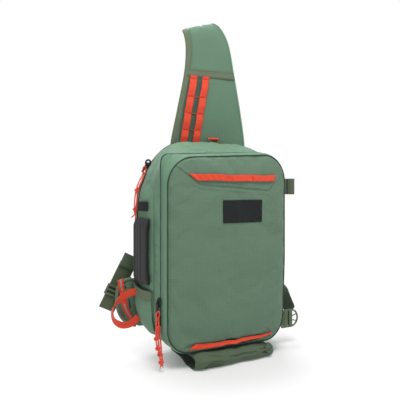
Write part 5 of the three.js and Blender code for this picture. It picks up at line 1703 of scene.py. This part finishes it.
def add_strap_webbing():
    half = HALF_WIDTH
    sewn = STRAP_THICK / 2 + WEB_THICK / 2 + 1.2
    back = STRAP_BASE_DEPTH + 0.33 * BODY_DEPTH
    plate = LOCK_DEPTH + LOCK_THICK / 2
    points = [
        strap_at(0.955, 0, sewn), strap_at(0.995, 0, sewn), behind(0.58 * half, back, 0.66 * BODY_HEIGHT),
        behind(0.86 * half, back - 0.05 * BODY_DEPTH, 0.5 * BODY_HEIGHT),
        behind(1.12 * half, 1.2 * BODY_DEPTH, 0.36 * BODY_HEIGHT),
        behind(1.2 * half, 0.85 * BODY_DEPTH, 0.27 * BODY_HEIGHT),
        behind(1.21 * half, plate + 24, 0.18 * BODY_HEIGHT),
        behind(LOCK_X + 0.32 * LOCK_LENGTH, plate + 12, LOCK_Z + 6),
        behind(LOCK_X + 0.1 * LOCK_LENGTH, plate + 6, LOCK_Z + 1),
        behind(LOCK_X - 0.24 * LOCK_LENGTH, plate + 2.5, LOCK_Z)]
    ways = [(1, 0, 0.1), (1, 0, 0.2), (1, 0, 0.4), (1, 0, 0.6), (0.7, 0.7, 0.4), (0.2, 0.8, 0.9),
            (0.1, 0.15, 0.95), (0, 0, 1), (0, 0, 1), (0, 0, 1)]
    centre, wide, out = turning_web([np.array(p, float) for p in points], ways, 160)
    piece = ribbon_piece("strap_web", centre, wide, out, WIDE_WEB, WEB_THICK, DARK_WEB)
    stand_for(piece, "dark_webbing", "strap_webbing")


def add_lock():
    """The ladder lock: a D frame with two broad bars and spokes, and the tab that holds it"""
    def at(x, z, lift=0.0):
        return np.array([LOCK_X + x, FRONT_Y + LOCK_DEPTH - lift, LOCK_Z + z])

    wire = 2.1
    high = LOCK_WIDTH / 2 - wire
    turn_x = LOCK_LENGTH / 2 - wire - high
    low_x = -LOCK_LENGTH / 2 + wire
    path = [at(x, -high) for x in np.linspace(low_x, turn_x, 16, endpoint=False)]
    path += [at(turn_x + high * math.sin(t), -high * math.cos(t)) for t in np.linspace(0, math.pi, 40)]
    path += [at(x, high) for x in np.linspace(turn_x, low_x, 16)[1:]]
    path += [at(low_x, z) for z in np.linspace(high, -high, 16)[1:-1]]
    heap = Heap()
    heap.add(tube_rings(path, wire, 14, True), True)
    for x, width, thick in ((-0.25, 10.5, 4.6), (0.03, 9.5, 5.0)):
        centre = [at(x * LOCK_LENGTH, z, 0.4) for z in np.linspace(-high, high, 12)]
        wide, out = np.tile([1.0, 0, 0], (12, 1)), np.tile([0, -1.0, 0], (12, 1))
        heap.add(ribbon_rings(centre, wide, out, width, thick))
        for shift in (-2.6, 0, 2.6):
            heights = np.linspace(-high + 3, high - 3, 14)
            line = [at(x * LOCK_LENGTH + shift, z, 0.4 + thick / 2) for z in heights]
            heap.add(tube_rings(line, 0.55, 6))
    for way in (-1, 1):
        spoke = [at(mix(0.1, 0.44, t) * LOCK_LENGTH, way * mix(4.5, 8.5, t)) for t in np.linspace(0, 1, 6)]
        heap.add(tube_rings(spoke, 1.4, 8))
    stand_for(heap.piece("ladder_lock_frame", OLIVE_PLASTIC), "olive_plastic", "ladder_lock")
    depth = LOCK_DEPTH - LOCK_THICK / 2 - WEB_THICK / 2 - GAP
    start = side_x(LOCK_DEPTH, LOCK_Z + 0.36 * LOCK_WIDTH, 1) - 2
    x = np.linspace(start, LOCK_X - 0.34 * LOCK_LENGTH, 20)
    centre = np.stack([x, np.full(20, FRONT_Y + depth), np.full(20, LOCK_Z)], axis=1)
    wide = np.tile([0.0, 0, 1.0], (20, 1))
    out = np.tile([0.0, -1.0, 0], (20, 1))
    piece = ribbon_piece("lock_tab_web", centre, wide, out, 0.7 * LOCK_WIDTH, WEB_THICK, OLIVE_WEB)
    stand_for(piece, "olive_tape", "lock_tab")


SIDE_LOOP_REACH = 46
SIDE_LOOP_Z = BODY_BOTTOM + 0.77 * BODY_HEIGHT


def add_side_loop():
    """Webbing doubled into a loop that stands out of the right side"""
    base = side_x(LOCK_DEPTH + WEB_THICK, SIDE_LOOP_Z - WIDE_WEB / 2, 1) + GAP
    inner = 4.5 + WEB_THICK / 2
    far = SIDE_LOOP_REACH - 4.5 - WEB_THICK
    turns = np.linspace(-math.pi / 2, math.pi / 2, 22)
    path = [(t * far, -mix(0.9, inner, smooth(0.62, 0.86, t))) for t in np.linspace(-0.1, 0.95, 40)]
    path += [(far + inner * math.cos(t), inner * math.sin(t)) for t in turns]
    path += [(t * far, mix(0.9, inner, smooth(0.62, 0.86, t))) for t in np.linspace(0.95, -0.1, 40)]
    centre = np.array([(base + a, FRONT_Y + LOCK_DEPTH + b, SIDE_LOOP_Z) for a, b in path])
    wide = np.tile([0.0, 0, 1.0], (len(centre), 1))
    out = np.cross(np.gradient(centre, axis=0), wide)
    piece = ribbon_piece("side_loop_web", centre, wide, out, WIDE_WEB, WEB_THICK, OLIVE_WEB)
    stand_for(piece, "olive_tape", "side_loop")
    heap = Heap()
    for x in (base + 0.57 * far, base + 0.6 * far, base + 0.63 * far):
        z = SIDE_LOOP_Z + np.linspace(-WIDE_WEB / 2 + 2, WIDE_WEB / 2 - 2, 30)
        line = np.stack([np.full(30, x), np.full(30, FRONT_Y + LOCK_DEPTH - 1.9), z], axis=1)
        stitch_line(heap, line, (0, -1, 0), 2.2, 1.8, 0.5)
    stand_for(heap.piece("side_loop_tack", THREAD_BLACK), "olive_tape")


# Zip sliders


def slider_body(heap, at, out, down, size=1.0):
    """The body of a slider: a pinched block with a bridge over it"""
    side = np.cross(down, out)
    turns = np.linspace(0, 2 * math.pi, 24, endpoint=False)
    rings = []
    for lift, spread in ((-2.6, 0.8), (-2.4, 1.0), (0.4, 1.0), (0.9, 0.82)):
        ring = []
        for t in turns:
            tall = 7.5 * size * math.copysign(abs(math.sin(t)) ** 0.5, math.sin(t))
            narrow = (5.6 - 1.2 * (tall < 0)) * size
            wide = narrow * math.copysign(abs(math.cos(t)) ** 0.5, math.cos(t))
            ring.append(at + out * lift + side * wide * spread - down * tall * spread)
        rings.append(ring)
    heap.add(rings)
    arch = np.linspace(0, math.pi, 16)
    bridge = [at + out * (0.4 + 3.6 * math.sin(t)) - down * (5.4 * size * math.cos(t)) for t in arch]
    heap.add(tube_rings(bridge, 1.5, 10))


def pull_tab(heap, at, out, down, length, width, ring_size):
    """A moulded pull with an eye at its end for the cord"""
    side = np.cross(down, out)
    turns = np.linspace(0, 2 * math.pi, 28, endpoint=False)
    eye = []
    for t in turns:
        spot = at + down * (length + ring_size * math.cos(t)) + side * ring_size * math.sin(t)
        eye.append(spot + out * 1.4)
    heap.add(tube_rings(eye, 1.7, 10, True), True)
    rings = []
    for share in np.linspace(0, 1, 14):
        centre = at + down * mix(1.0, length - ring_size + 0.5, share)
        centre = centre + out * (1.4 + 0.4 * math.sin(share * math.pi))
        half = width / 2 * (1 - 0.22 * math.sin(share * math.pi))
        shape = [(-1, -0.5), (-1, 0.5), (-0.8, 1), (0.8, 1), (1, 0.5), (1, -0.5), (0.8, -1), (-0.8, -1)]
        rings.append([centre + side * half * a + out * 1.8 * b for a, b in shape])
    heap.add(rings)


def add_sliders():
    main_out = np.array([-0.876, 0, 0.482])
    main_down = np.array([-0.482, 0, -0.876])
    left = np.array([-1.0, 0, 0])
    down = np.array([0, 0, -1.0])
    lift = 2 * GAP + 1.4
    def seat(depth, share):
        z = BODY_BOTTOM + share * BODY_HEIGHT
        return np.array([side_x(depth + 5, z) - lift, FRONT_Y + depth, z])
    heap = Heap()
    at = seat(MAIN_ZIP_DEPTH, 0.867) + main_out * 1.8
    slider_body(heap, at + main_out * 1.6 - main_down * 2, main_out, main_down)
    pull_tab(heap, at + main_out * 3.6, main_out, main_down, 12, 9, 4.4)
    ring_turns = np.linspace(0, 2 * math.pi, 26, endpoint=False)
    centre = at - main_down * 8 + main_out * 3.4
    ring = [centre + main_down * 6.2 * math.cos(t) + main_out * 5.2 * math.sin(t) for t in ring_turns]
    heap.add(tube_rings(ring, 2.1, 10, True), True)
    stand_for(heap.piece("main_slider_pull", BLACK), "black_plastic", "main_slider")
    for name, share, length in (("front_slider_upper", 0.237, 24), ("front_slider_lower", 0.155, 20)):
        heap = Heap()
        at = seat(24, share)
        slider_body(heap, at + left * 1.4, left, down, 1.3)
        pull_tab(heap, at + left * 3.6, left, down, length, 11.5, 4.0)
        stand_for(heap.piece(name + "_pull", BLACK), "black_plastic", name)


# The back panel and the base sleeve


def held_back(at):
    """1 where the back pad is sewn down: at its channels, its edge and its front face"""
    x, z = at[:, 0], at[:, 2]
    channel = (np.abs(np.abs(x) - 52) < 6) | ((np.abs(z - 200) < 6) & (np.abs(x) > 52))
    return (channel | (at[:, 1] < FRONT_Y + BODY_DEPTH + 4)).astype(float)


def add_back():
    """The padded back: a soft pad of mesh cloth with two sewn channels"""
    at = section(BODY_DEPTH)
    along = np.concatenate([
        np.linspace(0.06, 0.20, 26)[:-1], np.linspace(0.20, 0.33, 40)[:-1], np.linspace(0.33, 0.47, 40)])
    left = np.stack(outline(along, at, -4.0), axis=-1)
    right = np.stack(outline(1 - along, at, -4.0), axis=-1)
    share = np.linspace(0, 1, 96)
    flat = left[:, None] + (right - left)[:, None] * share[None, :, None]
    rim = [tuple(p) for p in np.concatenate([left, right[::-1]])]
    gap = to_segments(flat, rim, True)
    x, z = flat[..., 0], flat[..., 1]
    swell = (BACK_PAD - 1.0) * (1 - np.clip(1 - gap / 16, 0, 1) ** 2.4)
    swell -= 4.0 * bump(np.abs(x), 52, 5) * smooth(20, 40, gap)
    swell -= 4.0 * bump(z, 200, 5) * smooth(20, 40, gap) * (np.abs(x) > 52)
    grid = np.stack([x, FRONT_Y + BODY_DEPTH + 0.6 + swell, z], axis=-1)
    front = np.stack([x, np.full_like(x, FRONT_Y + BODY_DEPTH + 0.4), z], axis=-1)
    piece = slab_piece("back_pad", grid, front, np.stack([x, z], axis=-1), SPACER)
    pad_out(piece, held_back, 6.0, 3.0, 4.0, 0.006)
    stand_for(piece, "sage_cloth", "back_panel")
    turns = np.linspace(0, 1, 300, endpoint=False)
    line = wall(turns, BODY_DEPTH, -2.5)
    rings = []
    for at_point, ahead in zip(line, np.roll(line, -1, axis=0) - np.roll(line, 1, axis=0)):
        away = np.cross(unit(ahead), [0, 1, 0])
        if away[0] * at_point[0] + away[2] * (at_point[2] - 250) < 0:
            away = -away
        shape = [(-3.0, 1.0), (1.4, 0.4), (2.6, 2.0), (2.0, 4.0)]
        shape += [(-1, 5.2), (-5.5, 5.6), (-5.2, 4.4), (-3, 3.6)]
        rings.append([at_point + away * a + np.array([0, b, 0]) for a, b in shape])
    stand_for(sweep_piece("back_binding", rings, OLIVE_TAPE, BAG, None, True), "olive_tape")


SLEEVE_LENGTH = 200
SLEEVE_DEPTH = 156
SLEEVE_HEIGHT = 32.7
SLEEVE_LEFT_X = -89
SLEEVE_FRONT_Y = -78
# Columns: along, front, back, height
SLEEVE_ROWS = np.array([
    (0, 0.05, 0.97, 0.86), (0.07, 0.01, 1.0, 0.97), (0.3, 0.0, 1.0, 1.0), (0.55, 0.02, 1.0, 0.99),
    (0.8, 0.01, 0.99, 1.0), (0.93, 0.06, 0.95, 0.8), (1.0, 0.14, 0.86, 0.52)])


# How far the slack cloth of the roll bulges past the plain form
SLEEVE_SLACK = 5


def sleeve_ring(along, count, inward=0.0):
    row = [np.interp(along, SLEEVE_ROWS[:, 0], SLEEVE_ROWS[:, i]) for i in (1, 2, 3)]
    half = row[2] * SLEEVE_HEIGHT / 2
    slack = SLEEVE_SLACK * (1 + 0.7 * float(bump(along, 0.25, 0.25)))
    near = SLEEVE_FRONT_Y - slack + row[0] * SLEEVE_DEPTH + half
    far = SLEEVE_FRONT_Y + row[1] * SLEEVE_DEPTH - half
    x = SLEEVE_LEFT_X + along * SLEEVE_LENGTH
    arc = count // 4
    flat = count // 4
    turn = np.linspace(math.pi / 2, 1.5 * math.pi, arc, endpoint=False)
    front = [(near + (half - inward) * math.cos(t), half + (half - inward) * math.sin(t)) for t in turn]
    under = [(mix(near, far, t), inward) for t in np.linspace(0, 1, flat, endpoint=False)]
    turn = np.linspace(-math.pi / 2, math.pi / 2, arc, endpoint=False)
    rear = [(far + (half - inward) * math.cos(t), half + (half - inward) * math.sin(t)) for t in turn]
    over = [(mix(far, near, t), 2 * half - inward) for t in np.linspace(0, 1, flat, endpoint=False)]
    # The back of the open end is drawn in, and slack cloth pushes the far end out
    back_in = 8 * (1 - float(smooth(0.0, 0.3, along)))
    x += SLEEVE_SLACK * float(smooth(0.7, 1.0, along))
    slump = 0.6 * (1 - float(smooth(0.05, 0.4, along)))
    ring = []
    for y, z in front + under + rear + over:
        rear_share = float(smooth(-40, 20, y))
        sunk = slump * rear_share * max(0.0, 1 - z / SLEEVE_HEIGHT)
        ring.append((x + back_in * rear_share, y, z * (1 - sunk)))
    return np.array(ring)


def sleeve_fold(along, y, z):
    """Depth of the folds in the sleeve's front and top, in millimetres inward"""
    high = z / SLEEVE_HEIGHT
    x = along * SLEEVE_LENGTH
    near = 1 - float(smooth(-46, -14, y))
    fold = 0.0
    # A long slanting tuck, a low one under it, and a triangle of slack cloth low on the left
    long_tuck = 0.84 - 0.0022 * x + 0.04 * math.sin(x / 19)
    low_tuck = 0.42 + 0.0016 * x + 0.03 * math.sin(x / 14 + 1)
    fold += 3.6 * float(bump(high, long_tuck, 0.08)) * float(smooth(12, 40, x))
    fold += 2.4 * float(bump(high, low_tuck, 0.07)) * float(smooth(60, 90, x))
    slack = min(1.0, max(0.0, (x - 5 - 48 * high) / 12))
    fold += 6.5 * slack * (1 - float(smooth(50, 85, x))) * (1 - float(smooth(0.44, 0.62, high)))
    fold += 1.8 * float(bump(high, 0.18 + 0.0012 * x, 0.08)) * float(smooth(80, 120, x))
    swell = -2.6 * float(bump(high, 0.66 - 0.0006 * x, 0.12)) - 2.0 * float(bump(x, 14, 14))
    gather = float(smooth(140, 178, x))
    fold += gather * 4.0 * (0.5 + 0.5 * math.sin(z * 0.75 + x * 0.16 + y * 0.05)) * (0.4 + 0.6 * high)
    return (fold + swell) * near


def sleeve_piece(name, inset, depth_in, length, material):
    """One layer of the rolled cloth. It starts depth_in inside the open end."""
    count = 176
    shares = depth_in / SLEEVE_LENGTH + np.linspace(0, length / SLEEVE_LENGTH, max(12, int(length / 1.5)))
    outer = []
    for along in shares:
        ring = sleeve_ring(along, count, inset)
        for point in ring:
            centre = np.array([point[0], np.clip(point[1], -58, 60), SLEEVE_HEIGHT / 2])
            way = centre - point
            size = np.linalg.norm(way)
            settled = min(1.0, max(0.0, (point[2] - 1.0 - inset) / 5))
            if size > 0.01:
                point += way / size * sleeve_fold(along, point[1], point[2]) * settled * (1 - inset / 16)
            push = wrinkle_at(point, 0.035, 2.0) + wrinkle_at(point, 0.11, 0.5)
            point += push * settled * np.array([0.6, 1, 0.8])
        outer.append(ring)
    inner = []
    for along, ring in list(zip(shares, outer))[:: 3][:-1]:
        centre = np.array([ring[0][0], 0, SLEEVE_HEIGHT / 2])
        way = centre - ring
        way[:, 1] = np.clip(way[:, 1], -2, 2)
        inner.append(ring + way / np.linalg.norm(way, axis=1, keepdims=True) * 1.5)
    return sweep_piece(name, outer[::-1] + inner, material)


def add_sleeve():
    """The rolled sleeve under the bag, open at its left end and twisted to a knob at its right"""
    stand_for(sleeve_piece("sleeve_cloth", 0.0, 0.0, SLEEVE_LENGTH, DRAB), "drab_cloth", "base_sleeve")
    # The inner layers take the darker cloth: painted shade inside the open end
    for i, (inset, depth_in) in enumerate(((4.6, 2.5), (8.6, 5.0), (12.2, 8.0))):
        stand_for(sleeve_piece(f"sleeve_layer_{i + 1}", inset, depth_in, 50, HOLLOW_SHADE_CLOTH), "drab_cloth")
    turns = np.linspace(0, 3.4 * math.pi, 90)
    start = np.array([SLEEVE_LEFT_X + SLEEVE_LENGTH - 16, SLEEVE_FRONT_Y + 6, SLEEVE_HEIGHT - 13.5])
    across = np.array([0.93, 0.30, 0.12])
    upward = np.array([0.1, 0.25, 0.95])
    forward = np.cross(across, upward)
    reach = np.interp(turns, [0, 3.4 * math.pi], [9.5, 2.0])
    rise = np.interp(turns, [0, 3.4 * math.pi], [-1.5, 5.5])
    centre = start + reach[:, None] * (np.cos(turns)[:, None] * across + np.sin(turns)[:, None] * upward)
    centre = centre + rise[:, None] * forward
    radius = np.interp(turns, [0, 2, 3.4 * math.pi], [3.6, 4.6, 2.8]) * (1 + 0.10 * np.sin(turns * 5))
    rings = tube_rings(centre, radius, 18)
    for i, j in np.ndindex(rings.shape[:2]):
        rings[i, j] += wrinkle_at(rings[i, j], 0.12, 0.9)
    stand_for(sweep_piece("sleeve_knob", rings, DRAB), "drab_cloth")


add_strap()
add_strap_daisies()
add_strap_tapes()
add_ring()
add_ring_tab()
add_handle()
add_side_label()
add_side_pocket()
add_wing()
add_wing_strip()
add_orange_loop()
add_tail()
bevelled("tail_adjuster_body", "tail_adjuster", 0.6, OLIVE_PLASTIC, "olive_plastic")
add_strap_webbing()
add_lock()
add_side_loop()
add_sliders()
add_back()
add_sleeve()


def add_floor():
    """White ground that keeps the soft shadow near the bag and goes to plain white further off"""
    size = FLOOR_REACH
    data = bpy.data.meshes.new("floor")
    corners = [(-size, -size, 0), (size, -size, 0), (size, size, 0), (-size, size, 0)]
    data.from_pydata(corners, [], [(0, 1, 2, 3)])
    floor = placed("floor", data)
    made = Finish("studio_floor", (0.9, 0.9, 0.9), 0.9)
    socket(made.shader, "Specular IOR Level", 0.0)
    place = made.node("ShaderNodeTexCoord")
    size_of = made.node("ShaderNodeVectorMath", operation="LENGTH")
    made.link(place.outputs["Object"], size_of.inputs[0])
    ramp = made.node("ShaderNodeMapRange", interpolation_type="SMOOTHSTEP")
    made.link(size_of.outputs["Value"], ramp.inputs["Value"])
    ramp.inputs["From Min"].default_value, ramp.inputs["From Max"].default_value = SHADOW_FADE
    ramp.inputs["To Min"].default_value = GLOW_NEAR
    glow = made.node("ShaderNodeEmission")
    glow.inputs["Strength"].default_value = 1.05
    blend = made.node("ShaderNodeMixShader")
    made.link(ramp.outputs[0], blend.inputs[0])
    made.link(made.shader.outputs[0], blend.inputs[1])
    made.link(glow.outputs[0], blend.inputs[2])
    made.link(blend.outputs[0], made.tree.nodes["Material Output"].inputs["Surface"])
    data.materials.append(made.finish())
    floor.location = SHADOW_MIDDLE


def add_world():
    """White behind the bag, with an even light from all round"""
    world = bpy.data.worlds.new("studio")
    world.use_nodes = True
    nodes, links = world.node_tree.nodes, world.node_tree.links
    soft = nodes["Background"]
    soft.inputs["Color"].default_value = (1, 1, 1, 1)
    soft.inputs["Strength"].default_value = SKY_LIGHT
    white = nodes.new("ShaderNodeBackground")
    white.inputs["Color"].default_value = (1, 1, 1, 1)
    path = nodes.new("ShaderNodeLightPath")
    blend = nodes.new("ShaderNodeMixShader")
    links.new(path.outputs["Is Camera Ray"], blend.inputs[0])
    links.new(soft.outputs[0], blend.inputs[1])
    links.new(white.outputs[0], blend.inputs[2])
    links.new(blend.outputs[0], nodes["World Output"].inputs["Surface"])
    bpy.context.scene.world = world


def add_lights():
    for name, (place, power, width) in SOFTBOXES.items():
        lamp = bpy.data.lights.new(name, "AREA")
        lamp.size = width
        lamp.energy = power
        light = placed(name, lamp)
        light.location = place
        light.rotation_euler = (LIGHT_AIM - Vector(place)).to_track_quat("-Z", "Y").to_euler()
    bpy.context.scene.view_settings.view_transform = "Standard"


# Half the floor's side, and where its shadow fades out, in metres
FLOOR_REACH = 12.0
SHADOW_FADE = (0.1, 0.31)
SHADOW_MIDDLE = (0.03, -0.05, 0)
# Share of plain white under the bag
GLOW_NEAR = 0.1
# Place in metres, power in watts, width in metres
SOFTBOXES = {
    "key": ((-0.3, -0.85, 1.95), 26, 0.8),
    "fill": ((1.1, -0.9, 1.5), 5, 1.4),
    "top": ((0.15, 0.55, 1.7), 14, 0.8)}
LIGHT_AIM = Vector((0, 0, 0.3))
SKY_LIGHT = 0.36
add_floor()
add_world()
add_lights()
